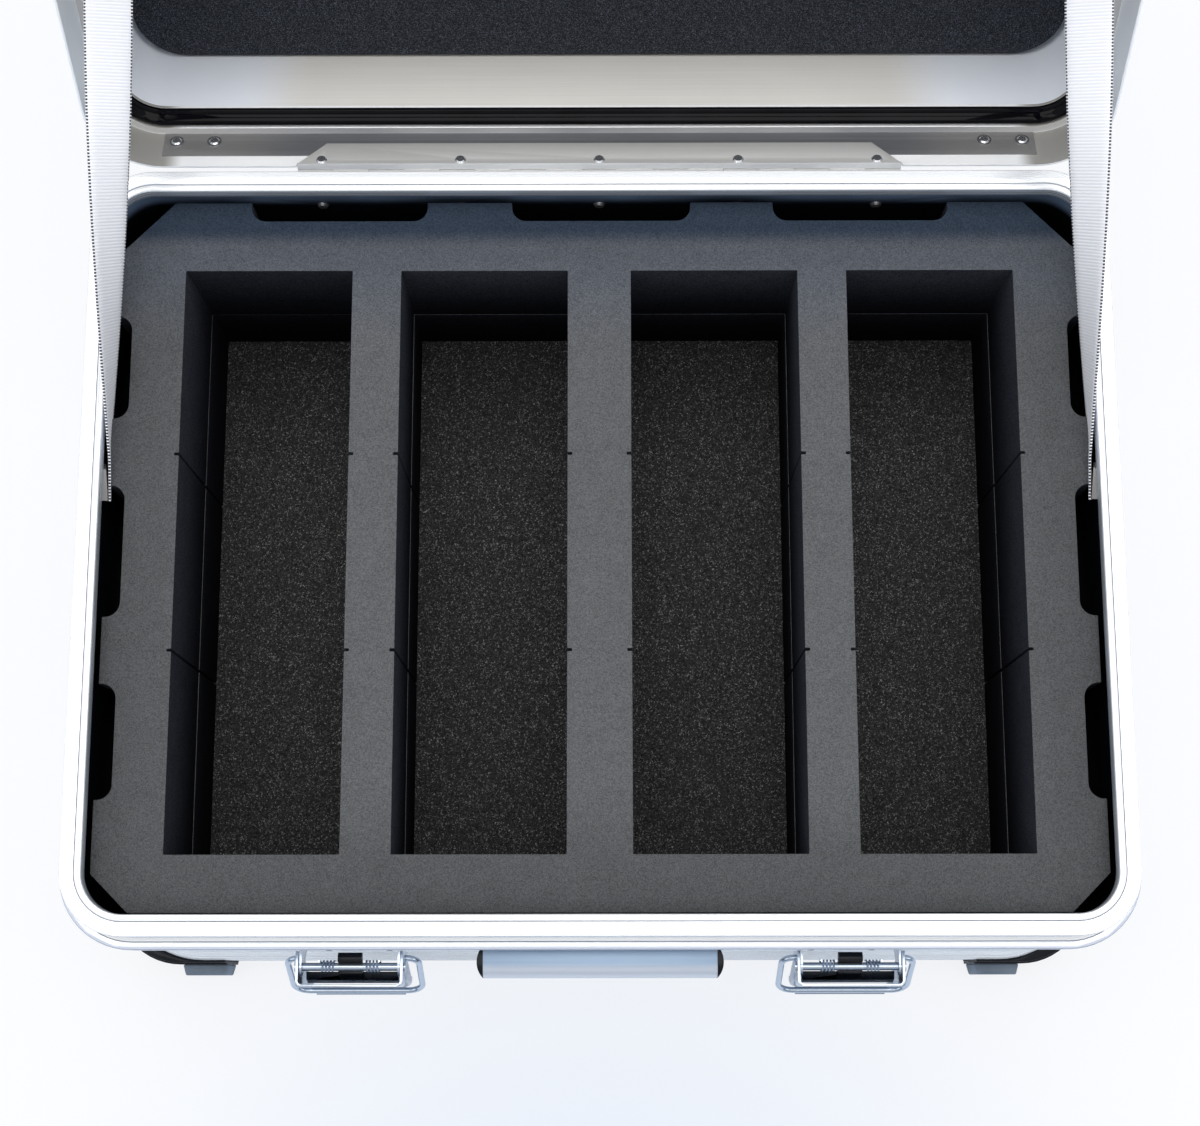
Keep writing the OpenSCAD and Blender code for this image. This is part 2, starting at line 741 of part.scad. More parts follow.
pivot_out = handle_depth / 2;
loop_r = 4;
hood_t = 2.5;
hood_top = 24;
hood_low = loop_r + 1.5;
arm_x = handle_w / 2 - 20;

module hood_section(inset) {
    r = 10;
    y1 = -handle_depth + inset;
    z1 = hood_top - inset;
    polygon(concat(
        [[-inset, z1]],
        [for (a = [0 : 15 : 90]) [y1 + r - (r - inset) * sin(a) - inset, z1 - r + inset + (r - inset) * cos(a)]],
        [[y1, hood_low - (inset > 0 ? 1 : 0)], [-inset, hood_low - (inset > 0 ? 1 : 0)]]
    ));
}

module handle_housing() color(alloy) {
    along_x(handle_w) {
        difference() {
            hood_section(0);
            hood_section(hood_t);
        }
        translate([-hood_t, -hood_top]) square([hood_t, hood_top + hood_low]);
    }
}

// End caps bulge outwards, as a slice of a round bar
module handle_caps() color(black) difference() {
    bulge = 4.5;
    chord = handle_depth / 2;
    r = (chord * chord + bulge * bulge) / (2 * bulge);
    for (m = [-1, 1]) intersection() {
        translate([m * (handle_w / 2 + bulge / 2), 0, 0]) along_x(bulge) union() {
            hood_section(0);
            translate([-handle_depth + 3, -10]) square([handle_depth - 3, 10 + hood_low + 1]);
        }
        translate([m * (handle_w / 2 + bulge - r), -chord, -handle_w / 2]) cylinder(r = r, h = handle_w);
    }
    translate([0, -pivot_out, 0]) rod_x(loop_r + run, handle_w + 3);
}

module handle_axle() {
    translate([0, -pivot_out, 0]) rod_x(loop_r, handle_w + 2.6);
}

// The loop: an eye on the axle at each side and one bent rod, which passes through the grip
module handle_loop() color(steel) difference() {
    translate([0, -pivot_out, 0]) {
        for (m = [-1, 1]) translate([m * arm_x, 0, 0]) rod_x(loop_r + 3.2, 2 * loop_r + 2);
        bent_wire(arm_x, handle_reach, loop_r, 9, loop_r + 1);
    }
    translate([0, -pivot_out, 0]) rod_x(loop_r + run, handle_w);
}

// A barrel-shaped grip round the loop's bar
grip_l = 2 * arm_x - 24;
module handle_grip() color(black) translate([0, -pivot_out, -handle_reach]) rotate([0, 90, 0])
    rotate_extrude() polygon(concat(
        [[loop_r, -grip_l / 2], [grip_r - 4, -grip_l / 2]],
        [for (i = [0 : 8]) [grip_r - 1.2 * pow((i - 4) / 4, 2), (i - 4) / 8 * (grip_l - 8)]],
        [[grip_r - 4, grip_l / 2], [loop_r, grip_l / 2]]
    ));

handle_turns = 5;
handle_wire = 1;
handle_pitch = 3;
module handle_spring() {
    translate([arm_x - 32, -pivot_out, 0])
        tube(coil_path(handle_turns, loop_r + handle_wire + 0.6, handle_pitch, 14), handle_wire);
}

module handle_rivet_set() {
    for (x = [-60, -20, 20, 60]) translate([x, -hood_t, -hood_top + 7]) rotate([90, 0, 0])
        cylinder(r1 = 4, r2 = 2.8, h = 1.6);
}

module at_front_handle() {
    translate([0, -wall_hd, handle_z]) children();
}

module at_left_handle() {
    rotate([0, 0, -90]) translate([0, -wall_hw, side_handle_z]) children();
}

module at_right_handle() {
    rotate([0, 0, 90]) translate([0, -wall_hw, side_handle_z]) children();
}

module at_all_handles() {
    at_front_handle() children();
    at_left_handle() children();
    at_right_handle() children();
}

// Lid, drawn closed

module lid_frame_section() {
    translate([0, ledge_z]) polygon([
        [-skirt_foot, skirt_gap], [-skirt_out - 0.6, skirt_gap], [-skirt_out, skirt_gap + 0.6],
        [-skirt_out, lip_low], [0, lip_high], [0, skirt_depth + 2], [-1.5, skirt_depth + 6],
        [-wall_inset, skirt_depth + 8], [-wall_inset - sheet_t, skirt_depth + 8],
        [-wall_inset - sheet_t, skirt_depth + hem], [-wall_inset - sheet_t - 2, skirt_depth + hem],
        [-wall_inset - sheet_t - 2, web_z + web_t - ledge_z], [-rim_w, web_z + web_t - ledge_z],
        [-rim_w, web_z - ledge_z], [-skirt_lip, web_z - ledge_z],
        [-skirt_lip, skirt_depth + lip_gap + 0.4], [-skirt_lip + 0.4, skirt_depth + lip_gap],
        [-skirt_step, skirt_depth + lip_gap], [-skirt_in, skirt_rise]
    ]);
}

// The frame is cut away for the hinge leaf that folds round its foot
module lid_frame() color(bright) opened() difference() {
    round_case() lid_frame_section();
    translate([-hinge_l / 2 - 1, hinge_y - knuckle_r - skirt_foot - 0.2, ledge_z])
        cube([hinge_l + 2, knuckle_r + skirt_foot + 1, skirt_gap + leaf_t + 0.4]);
    lid_hinge_holes(2.1);
    lid_strip_holes(2.1);
}

module lid_shell_section() {
    r = 9;
    x0 = -wall_inset;
    z0 = frame_top_z;
    polygon(concat(
        [[x0, z0]],
        [for (a = [0 : 15 : 90]) [x0 - r + r * cos(a), lid_top_z - r + r * sin(a)]],
        [for (a = [90 : -15 : 0]) [x0 - r + (r - sheet_t) * cos(a), lid_top_z - r + (r - sheet_t) * sin(a)]],
        [[x0 - sheet_t, z0]]
    ));
}

lid_guard_h = 40;
lid_bead_z = (ledge_z + skirt_depth + hem + lid_top_z - lid_guard_h) / 2;
module lid_shell() color(alloy) opened() {
    edge = wall_inset + 9;
    translate([0, 0, lid_top_z - sheet_t]) linear_extrude(sheet_t)
        round_rect(case_w - 2 * edge, case_d - 2 * edge, corner_r - edge);
    for (y = [-1, 1]) translate([0, y * case_d * 0.22, lid_top_z]) linear_extrude(lid_corner_out - 1.5)
        round_rect(case_w * 0.72, 26, 12.9);
    round_case() union() {
        lid_shell_section();
        bead_section(lid_bead_z);
    }
}

module lid_liner() color(bright) opened() round_case()
    translate([-rim_w, web_z + web_t]) square([sheet_t, lid_top_z - sheet_t - web_z - web_t]);

module lid_gasket() color(black) opened() round_case() {
    in_x = -rim_w + 0.2;
    out_x = -skirt_lip - 0.3;
    translate([0, gasket_z]) polygon([
        [in_x, gasket_h], [in_x, gasket_h * 0.72], [in_x + 2.4, gasket_h * 0.55], [in_x + 3.2, gasket_h * 0.62],
        [in_x + 4.4, gasket_h * 0.3], [in_x + 5.8, gasket_h * 0.07], [in_x + 7, 0], [in_x + 8.6, 0],
        [out_x - 1.8, gasket_h * 0.1], [out_x - 0.6, gasket_h * 0.3], [out_x, gasket_h * 0.6], [out_x, gasket_h]
    ]);
}

module lid_foam() color(speckled) opened() translate([0, 0, lid_foam_z])
    linear_extrude(lid_foam_t) round_rect(2 * mouth_hw - 2 * sheet_t - 2 * gap - 1,
        2 * mouth_hd - 2 * sheet_t - 2 * gap - 1, corner_r - rim_w + 8);

// Stacking corners on the lid's top edge
module lid_corners() color(black) opened() {
    translate([0, 0, lid_top_z - lid_guard_h]) linear_extrude(lid_guard_h) guard_outline(1.5, guard_l * 0.8);
    translate([0, 0, lid_top_z]) linear_extrude(lid_corner_out) intersection() {
        difference() {
            round_rect(case_w + 2, case_d + 2, corner_r);
            round_rect(case_w - 60, case_d - 60, corner_r - 22);
        }
        for (sx = [-1, 1], sy = [-1, 1])
            translate([sx * (hw - guard_l * 0.4 + 6), sy * (hd - guard_l * 0.4 + 6)])
                square([guard_l * 0.8 + 12, guard_l * 0.8 + 12], center = true);
    }
}

// Slope of the skirt's inner face, which the hinge plates lie on
slope = atan2(skirt_in - skirt_foot, skirt_rise - skirt_gap);
skirt_y = hd - skirt_foot;

// Puts flat pieces on the rear skirt's inner face: x along the case, y up the skirt, z off its face
module on_skirt() {
    translate([0, skirt_y, ledge_z + skirt_gap]) rotate([slope, 0, 0]) rotate([90, 0, 0])
        translate([0, 0, 0.05]) children();
}

strip_t = 0.8;
leaf_up = 23;
leaf_lean = 22;
strip_low = 11;
strip_high = skirt_rise - skirt_gap - 0.4;

module hinge_cover_strip() color(steel) opened() difference() {
    on_skirt() translate([-strip_l / 2, strip_low, 0]) cube([strip_l, strip_high - strip_low, strip_t]);
    lid_strip_holes(2.1);
    lid_hinge_holes(2.1);
}

// The moving leaf: knuckles, a fold round the skirt's foot and a plate with slanted ends
module hinge_leaf_lid() color(steel) opened() difference() {
    union() {
        on_skirt() translate([0, 0, strip_t]) linear_extrude(leaf_t - 0.2) polygon([
            [-hinge_l / 2 + 0.4, 0.4], [hinge_l / 2 - 0.4, 0.4], [hinge_l / 2 - leaf_lean, leaf_up],
            [-hinge_l / 2 + leaf_lean, leaf_up]
        ]);
        difference() {
            translate([-hinge_l / 2, skirt_y - strip_t - leaf_t + 0.25, ledge_z + skirt_gap])
                cube([hinge_l, hinge_y - skirt_y + strip_t + leaf_t - 0.25, leaf_t]);
            for (i = [0 : 2 : knuckle_n - 1])
                translate([i * knuckle_step - hinge_l / 2 - gap / 2, hinge_y - knuckle_r - 0.4, ledge_z])
                    cube([knuckle_step + gap, 2 * knuckle_r, 4]);
        }
        knuckles(1);
    }
    knuckle_bore();
    lid_hinge_holes(2.1);
}

lid_rivet_up = 4.8;
module lid_hinge_holes(r) {
    on_skirt() for (x = hinge_rivets_x) translate([x, lid_rivet_up, 0]) cylinder(r = r, h = 16, center = true);
}

module hinge_rivets_lid() color(bright) opened() on_skirt()
    for (x = hinge_rivets_x) translate([x, lid_rivet_up, strip_t + leaf_t - 0.2]) {
        cylinder(r1 = 4.4, r2 = 3.2, h = 1.2);
        translate([0, 0, -strip_t - leaf_t + 0.2]) cylinder(r = 2, h = strip_t + leaf_t - 0.2);
    }

// Rivets at the ends of the cover strip
strip_rivets_x = [strip_l / 2 - 10, strip_l / 2 - 40];
strip_rivet_up = (strip_low + strip_high) / 2 + 3.5;
module lid_strip_holes(r) {
    on_skirt() for (m = [-1, 1], x = strip_rivets_x)
        translate([m * x, strip_rivet_up, 0]) cylinder(r = r, h = 12, center = true);
}

// Keepers: a plate on the front of the lid frame, with a hook for the bail's bar
keeper_bar_z = bail_z + bail_l;
module keeper_section() {
    shelf_z = keeper_bar_z - bail_r - 0.8;
    polygon([
        [-hd, ledge_z + lip_high + 1.5], [-hd, ledge_z + skirt_depth], [-hd - 2, ledge_z + skirt_depth],
        [-hd - 2, shelf_z], [bail_y - bail_r - 0.5, shelf_z], [bail_y - bail_r - 0.5, shelf_z + 5],
        [bail_y - bail_r - 2.5, shelf_z + 5], [bail_y - bail_r - 2.5, shelf_z - 2], [-hd, shelf_z - 2]
    ]);
}

module lid_keepers() color(steel) opened()
    for (s = [-1, 1]) at_latch(s) difference() {
        along_x(lever_w - 6) keeper_section();
        keeper_rivet_places() cylinder(r = 2.1, h = skirt_depth, center = true);
    }

module keeper_rivet_places() {
    for (x = [-1, 1]) translate([x * lever_w / 4, -hd - 2, ledge_z + skirt_depth - 8])
        rotate([90, 0, 0]) children();
}

module lid_rivets() color(bright) opened() {
    on_skirt() for (m = [-1, 1], x = strip_rivets_x) translate([m * x, strip_rivet_up, strip_t]) {
        cylinder(r = 5.6, h = 0.5);
        translate([0, 0, 0.5]) cylinder(r1 = 4.2, r2 = 3, h = 0.9);
        translate([0, 0, -strip_t]) cylinder(r = 2, h = strip_t);
    }
    for (s = [-1, 1]) at_latch(s) keeper_rivet_places() {
        cylinder(r1 = 4, r2 = 2.8, h = 1.6);
        translate([0, 0, -2]) cylinder(r = 2, h = 2);
    }
}

// Straps

strap_lid_x = mouth_hw - strap_lid_in;
strap_base = [mouth_hw + strap_base_out, strap_base_y, base_h - strap_base_drop];
// The clamp in the lid, turned to the rest pose
strap_lid = [
    strap_lid_x,
    hinge_y - strap_lid_d * cos(lid_open) + strap_lid_t * sin(lid_open),
    hinge_z + strap_lid_d * sin(lid_open) + strap_lid_t * cos(lid_open)
];
strap_run = strap_lid - strap_base;
strap_dir = unit(strap_run);
strap_side = unit([1, 0, 0] - strap_dir * strap_dir[0]);
strap_up = cross(strap_side, strap_dir);
strap_rings = 24;

// The webbing leaves the base along the side, leaning a little inwards, and turns on its way to the
// lid until it lies across it, with its upper edge turning outwards
function strap_ring(s) =
    let (turn = (s * norm(strap_run) - strap_flat) / (norm(strap_run) - 2 * strap_flat),
         a = (90 + strap_lean) * min(1, max(0, turn)) - strap_lean,
         across = cos(a) * strap_up + sin(a) * strap_side,
         thick = cross(strap_dir, across),
         c = strap_base + s * strap_run)
    [for (q = [[-1, -1], [1, -1], [1, 1], [-1, 1]])
        c + q[0] * across * strap_w / 2 + q[1] * thick * strap_t / 2];

module strap() {
    last = strap_rings;
    points = [for (i = [0 : last]) each strap_ring(i / last)];
    walls = [for (i = [0 : last - 1], s = [0 : 3])
        let (a = i * 4 + s, b = i * 4 + (s + 1) % 4)
        each s == 2 ? [[a, b, a + 4], [b, b + 4, a + 4]] : [[a, b, b + 4], [a, b + 4, a + 4]]];
    caps = [[0, 2, 1], [0, 3, 2], [last * 4, last * 4 + 1, last * 4 + 2], [last * 4, last * 4 + 2, last * 4 + 3]];
    color(webbing) polyhedron(points, concat(walls, caps));
}

// Clamp wedges on the lining, behind the lower ends of the straps
clamp_l = 24;
clamp_low = -8;
clamp_high = strap_w / 2 - 4;
function clamp_face(v) = strap_base[0] + (strap_t / 2 + gap) / cos(strap_lean) - v * tan(strap_lean);
module strap_anchors_base() color(steel)
    for (m = [-1, 1]) mirror([m < 0 ? 1 : 0, 0, 0])
        translate([0, strap_base[1], strap_base[2]]) rotate([atan2(strap_dir[2], strap_dir[1]), 0, 0])
            translate([0, clamp_l, 0]) rotate([90, 0, 0]) linear_extrude(clamp_l) polygon([
                [liner_hw, clamp_low], [clamp_face(clamp_low), clamp_low],
                [clamp_face(clamp_high), clamp_high], [liner_hw, clamp_high]
            ]);

// Brackets on the lid's inner wall, each with a tab behind the end of its strap
tab_l = 24;
bracket_t = 1.5;
bracket_back = 14;
bracket_fore = 26;
bracket_up = 28;
bracket_z = ledge_z + skirt_depth + 1;
module strap_anchors_lid() color(steel)
    for (m = [-1, 1]) mirror([m < 0 ? 1 : 0, 0, 0]) {
        lean = atan2(strap_dir[2], strap_dir[1]);
        translate([strap_lid[0], strap_lid[1], strap_lid[2]]) rotate([lean, 0, 0])
            translate([0, -tab_l / 2 + 1, -strap_t / 2 - gap - 1]) linear_extrude(2, center = true)
                translate([-strap_w / 2, -tab_l / 2]) square([strap_lid_in - bracket_t + strap_w / 2, tab_l]);
        bracket_y = hinge_y - strap_lid_d;
        opened() translate([mouth_hw - bracket_t, 0, 0]) rotate([90, 0, 90]) linear_extrude(bracket_t) polygon([
            [bracket_y - bracket_back, web_z + bracket_up], [bracket_y + bracket_fore, web_z + bracket_up],
            [bracket_y + bracket_fore + 4, bracket_z], [bracket_y - bracket_back + 10, bracket_z]
        ]);
    }

echo(latch_spring_gap = coil_gap(spring_turns, spring_mean, spring_pitch, spring_wire));
echo(handle_spring_gap = coil_gap(handle_turns, loop_r + handle_wire + 0.6, handle_pitch, handle_wire));

base_shell();
base_rim();
base_edge_profiles();
wall_liner();
bottom_runners();
corner_protectors();
corner_feet();
foam_top_front();
foam_top_rear();
foam_top_left();
foam_top_right();
foam_top_webs();
foam_lower_layer();
foam_floor_pad();
foam_base_block();
hinge_leaf_base();
hinge_pin();
hinge_rivets_base();
latch_plate(-1);  // latch_plate_left
latch_plate(1);  // latch_plate_right
latch_axles();
latch_rivets();
strap_anchors_base();
mirror([1, 0, 0]) strap();  // strap_left
strap();  // strap_right
at_front_handle() handle_housing();  // front_handle_housing
at_left_handle() handle_housing();  // left_handle_housing
at_right_handle() handle_housing();  // right_handle_housing
at_front_handle() handle_caps();  // front_handle_caps
at_left_handle() handle_caps();  // left_handle_caps
at_right_handle() handle_caps();  // right_handle_caps
color(steel) at_all_handles() handle_axle();  // handle_axles
color(steel) at_all_handles() handle_spring();  // handle_springs
color(steel) at_all_handles() handle_rivet_set();  // handle_rivets
lid_shell();
lid_frame();
lid_liner();
lid_gasket();
lid_foam();
lid_corners();
hinge_leaf_lid();
hinge_cover_strip();
hinge_rivets_lid();
lid_rivets();
lid_keepers();
strap_anchors_lid();
latch_lever(-1);  // latch_lever_left
latch_lever(1);  // latch_lever_right
latch_bail(-1);  // latch_bail_left
latch_bail(1);  // latch_bail_right
latch_catch(-1);  // latch_catch_left
latch_catch(1);  // latch_catch_right
latch_springs(-1);  // latch_springs_left
latch_springs(1);  // latch_springs_right
at_front_handle() handle_loop();  // front_handle_loop
at_left_handle() handle_loop();  // left_handle_loop
at_right_handle() handle_loop();  // right_handle_loop
at_front_handle() handle_grip();  // front_handle_grip
at_left_handle() handle_grip();  // left_handle_grip
at_right_handle() handle_grip();  // right_handle_grip
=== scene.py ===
"""Hard transport case with a foam insert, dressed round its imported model."""
import json
import math

import bpy
from mathutils import Matrix, Vector

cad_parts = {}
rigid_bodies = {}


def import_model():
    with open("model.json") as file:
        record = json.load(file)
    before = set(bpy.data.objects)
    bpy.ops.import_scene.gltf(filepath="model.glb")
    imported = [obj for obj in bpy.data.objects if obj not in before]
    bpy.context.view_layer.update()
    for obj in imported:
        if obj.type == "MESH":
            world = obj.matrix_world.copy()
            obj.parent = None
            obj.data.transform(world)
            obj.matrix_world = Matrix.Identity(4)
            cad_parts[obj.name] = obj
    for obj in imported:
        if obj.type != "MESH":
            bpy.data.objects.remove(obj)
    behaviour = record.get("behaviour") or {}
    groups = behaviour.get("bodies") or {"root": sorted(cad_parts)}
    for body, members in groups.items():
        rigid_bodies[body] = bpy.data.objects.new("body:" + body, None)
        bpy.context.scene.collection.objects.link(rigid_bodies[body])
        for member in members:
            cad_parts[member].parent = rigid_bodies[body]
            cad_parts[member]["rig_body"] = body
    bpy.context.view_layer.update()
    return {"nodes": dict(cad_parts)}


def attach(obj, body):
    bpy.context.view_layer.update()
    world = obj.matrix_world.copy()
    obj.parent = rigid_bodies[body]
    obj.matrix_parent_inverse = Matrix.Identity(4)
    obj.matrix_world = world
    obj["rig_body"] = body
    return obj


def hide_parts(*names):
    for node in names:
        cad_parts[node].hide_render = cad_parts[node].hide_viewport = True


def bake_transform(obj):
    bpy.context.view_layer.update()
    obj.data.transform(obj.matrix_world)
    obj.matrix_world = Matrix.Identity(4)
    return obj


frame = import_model()
nodes = frame["nodes"]
MM = 0.001

# Sizes shared with the model, in millimetres
CASE_W, CASE_D = 800.0, 600.0
OUTLINE_R = 56.0
RIM_Z, LEDGE_Z = 320.0, 284.0
FOAM_TOP_Z, FOAM_JOINT_Z, POCKET_FLOOR_Z, PAD_Z, TUB_FLOOR_Z = 298.0, 190.0, 116.0, 86.0, 9.5
FOAM_HW, FOAM_HD = 373.7, 273.7
HINGE_Y, HINGE_Z = 303.5, 284.0
LID_OPEN = math.radians(118.0)

# Directions of the open lid's faces: those that look down, and forward, while it is shut
LID_UNDERSIDE = (0.0, -math.sin(LID_OPEN), -math.cos(LID_OPEN))
LID_REAR_INSIDE = (0.0, -math.cos(LID_OPEN), math.sin(LID_OPEN))

WHITE = (1.0, 1.0, 1.0)


# Selecting and shaping

def pick(*objects):
    """Only these objects are selected, and the first is active."""
    if bpy.context.object and bpy.context.object.mode != "OBJECT":
        bpy.ops.object.mode_set(mode="OBJECT")
    bpy.ops.object.select_all(action="DESELECT")
    for o in objects:
        o.select_set(True)
    bpy.context.view_layer.objects.active = objects[0]


def settle(piece):
    """Puts a piece's place into its mesh, so that its object sits at the origin."""
    pick(piece)
    bpy.ops.object.transform_apply(location=True, rotation=True, scale=True)
    return piece


def block(name, low, high):
    """A box between two corners, given in millimetres."""
    bpy.ops.object.select_all(action="DESELECT")
    centre = [(a + b) / 2 * MM for a, b in zip(low, high)]
    bpy.ops.mesh.primitive_cube_add(size=1.0, location=centre)
    piece = bpy.context.object
    piece.name = name
    piece.scale = [(b - a) * MM for a, b in zip(low, high)]
    return settle(piece)


def copy_of(piece, name):
    """A second object with its own mesh."""
    pick(piece)
    bpy.ops.object.duplicate(linked=False)
    twin = bpy.context.object
    twin.name = name
    return twin


def choose_edges(piece, test):
    """In edit mode, selects the edges whose two end points pass the test."""
    pick(piece)
    bpy.ops.object.mode_set(mode="EDIT")
    bpy.ops.mesh.select_mode(type="EDGE")
    bpy.ops.mesh.select_all(action="DESELECT")
    bpy.ops.object.mode_set(mode="OBJECT")
    points = piece.data.vertices
    for e in piece.data.edges:
        a, b = (points[i].co for i in e.vertices)
        e.select = test(a / MM, b / MM)
    bpy.ops.object.mode_set(mode="EDIT")


def round_edges(piece, test, radius, segments):
    """Rounds the edges that pass the test; with one segment it cuts them off."""
    choose_edges(piece, test)
    bpy.ops.mesh.bevel(offset=radius * MM, segments=segments, affect="EDGES")
    bpy.ops.object.mode_set(mode="OBJECT")


def upright(a, b):
    """Whether an edge between two points stands on end."""
    return abs(a.x - b.x) < 0.01 and abs(a.y - b.y) < 0.01 and abs(a.z - b.z) > 1


def apply_modifiers(piece):
    """Works all modifiers into the mesh."""
    pick(piece)
    for m in list(piece.modifiers):
        bpy.ops.object.modifier_apply(modifier=m.name)


def cut(piece, cutters):
    """Cuts these shapes out of the piece and removes them."""
    for c in cutters:
        m = piece.modifiers.new("cut", "BOOLEAN")
        m.operation, m.solver, m.object = "DIFFERENCE", "EXACT", c
    apply_modifiers(piece)
    for c in cutters:
        bpy.data.objects.remove(c)


SHARP = math.radians(35.0)


def soften(piece, radius):
    """Breaks the sharp edges with a small round."""
    m = piece.modifiers.new("edge", "BEVEL")
    m.width, m.segments = radius * MM, 2
    m.limit_method, m.angle_limit = "ANGLE", SHARP
    m.harden_normals = False
    apply_modifiers(piece)
    pick(piece)
    bpy.ops.object.shade_smooth_by_angle(angle=SHARP)


def paint(piece, material):
    """The piece has this material and no other."""
    piece.data.materials.clear()
    piece.data.materials.append(material)


def finish_part(piece, body, slot, material, *stands_for):
    """Material and body of a piece, and the model's nodes that it stands for, which it hides; slot is not used.
    """
    paint(piece, material)
    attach(piece, body)
    if stands_for:
        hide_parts(*stands_for)
    return piece


# Material building blocks

class Shader:
    """A material's node tree with one Principled shader."""

    def __init__(self, name, colour, roughness, metallic=0.0):
        self.material = bpy.data.materials.new(name)
        self.material.use_nodes = True
        self.tree = self.material.node_tree
        self.shader = self.tree.nodes["Principled BSDF"]
        self.set("Base Color", (*colour, 1.0))
        self.set("Roughness", roughness)
        self.set("Metallic", metallic)

    def set(self, socket, value):
        self.shader.inputs[socket].default_value = value

    def node(self, kind, **values):
        n = self.tree.nodes.new(kind)
        for key, value in values.items():
            if hasattr(n, key):
                setattr(n, key, value)
            else:
                n.inputs[key.replace("_", " ").title()].default_value = value
        return n

    def link(self, a, b):
        self.tree.links.new(a, b)

    def coords(self):
        return self.node("ShaderNodeTexCoord")

    def axis(self, name):
        """One of the object coordinates."""
        parts = self.node("ShaderNodeSeparateXYZ")
        self.link(self.coords().outputs["Object"], parts.inputs["Vector"])
        return parts.outputs[name]

    def from_middle(self, name):
        """How far a point lies from the middle along one axis."""
        return self.math("ABSOLUTE", self.axis(name))

    def place(self, scale=(1, 1, 1)):
        """Object coordinates, stretched."""
        mapping = self.node("ShaderNodeMapping")
        mapping.inputs["Scale"].default_value = scale
        self.link(self.coords().outputs["Object"], mapping.inputs["Vector"])
        return mapping.outputs["Vector"]

    def noise(self, where, scale, detail=3.0):
        n = self.node("ShaderNodeTexNoise", scale=scale, detail=detail, roughness=0.5)
        self.link(where, n.inputs["Vector"])
        return n.outputs["Fac"]

    def ramp(self, value, stops):
        """A colour for each value, blended between the stops."""
        n = self.node("ShaderNodeValToRGB")
        band = n.color_ramp
        while len(band.elements) < len(stops):
            band.elements.new(0.5)
        for element, (at, colour) in zip(band.elements, stops):
            element.position = at
            element.color = (*colour, 1.0)
        self.link(value, n.inputs["Fac"])
        return n.outputs["Color"]

    def fade(self, value, start, end):
        """0 before start and 1 after end, smooth between."""
        n = self.node("ShaderNodeMapRange", interpolation_type="SMOOTHSTEP")
        n.inputs["From Min"].default_value, n.inputs["From Max"].default_value = start, end
        self.link(value, n.inputs["Value"])
        return n.outputs["Result"]

    def span(self, value, low, high):
        """Stretches a value from 0 to 1 over low to high."""
        n = self.node("ShaderNodeMapRange")
        n.inputs["To Min"].default_value = low
        n.inputs["To Max"].default_value = high
        self.link(value, n.inputs["Value"])
        return n.outputs["Result"]

    def math(self, operation, a, b=None):
        n = self.node("ShaderNodeMath", operation=operation)
        for socket, value in zip(n.inputs, (a, b)):
            if value is None:
                continue
            if isinstance(value, (int, float)):
                socket.default_value = value
            else:
                self.link(value, socket)
        return n.outputs[0]

    def mix(self, factor, a, b, blend="MIX"):
        n = self.node("ShaderNodeMix", data_type="RGBA", blend_type=blend)
        for socket, value in ((n.inputs[0], factor), (n.inputs[6], a), (n.inputs[7], b)):
            if isinstance(value, tuple):
                socket.default_value = (*value, 1.0)
            elif isinstance(value, (int, float)):
                socket.default_value = value
            else:
                self.link(value, socket)
        return n.outputs[2]

    def shade(self, face, mask, colour):
        """Multiplies the face with a colour where the mask is 1."""
        return self.mix(1.0, face, self.mix(mask, WHITE, colour), "MULTIPLY")

    def levelness(self):
        """1 on faces that look up or down, 0 on upright ones."""
        parts = self.node("ShaderNodeSeparateXYZ")
        self.link(self.coords().outputs["Normal"], parts.inputs["Vector"])
        return self.math("ABSOLUTE", parts.outputs["Z"])

    def both(self, a, b):
        """A mask that is 1 where both masks are."""
        return self.math("MULTIPLY", a, b)

    def facing(self, direction):
        """How far the surface faces a direction, from -1 to 1."""
        n = self.node("ShaderNodeVectorMath", operation="DOT_PRODUCT")
        self.link(self.coords().outputs["Normal"], n.inputs[0])
        n.inputs[1].default_value = direction
        return n.outputs["Value"]

    def lid_height(self):
        """Height over the ledge of a point of the open lid, as it is when the lid is closed."""
        back = self.math("SUBTRACT", self.axis("Y"), HINGE_Y * MM)
        up = self.math("SUBTRACT", self.axis("Z"), HINGE_Z * MM)
        return self.math("ADD", self.math("MULTIPLY", back, math.sin(LID_OPEN)),
                         self.math("MULTIPLY", up, math.cos(LID_OPEN)))

    def bump(self, height, strength, distance):
        n = self.node("ShaderNodeBump", strength=strength)
        n.inputs["Distance"].default_value = distance
        self.link(height, n.inputs["Height"])
        self.link(n.outputs["Normal"], self.shader.inputs["Normal"])

    def into(self, socket, value):
        self.link(value, self.shader.inputs[socket])


# Zones of painted light and shade on the metals, in metres
HANDLE_FRONT = (-0.3085, -0.3155)
LID_CORNER_X, LID_REAR_Z = (0.328, 0.345), 0.40
UNDER_END_X = (0.25, 0.375)


def lid_corner_shade_zone(s):
    """The inner face of the lid frame at its two rear corners, where it takes a painted shade."""
    inside = s.both(s.math("GREATER_THAN", s.facing(LID_REAR_INSIDE), 0.55),
                    s.math("LESS_THAN", s.axis("Z"), LID_REAR_Z))
    return s.both(inside, s.fade(s.from_middle("X"), *LID_CORNER_X))


def underside_shade_and_light(s, middle, ends):
    """A cloudy painted tint for downward faces of the lid, which changes towards the ends: painted shade on the
    frame, a painted highlight on the hinge plate.
    """
    cloud = s.noise(s.place(scale=(9.0, 30.0, 30.0)), 1.0, detail=2.0)
    clouds = s.ramp(cloud, [(0.35, (0.82, 0.82, 0.83)), (0.7, (1.15, 1.14, 1.12))])
    return s.mix(s.fade(s.from_middle("X"), *UNDER_END_X), s.mix(1.0, middle, clouds, "MULTIPLY"), ends)


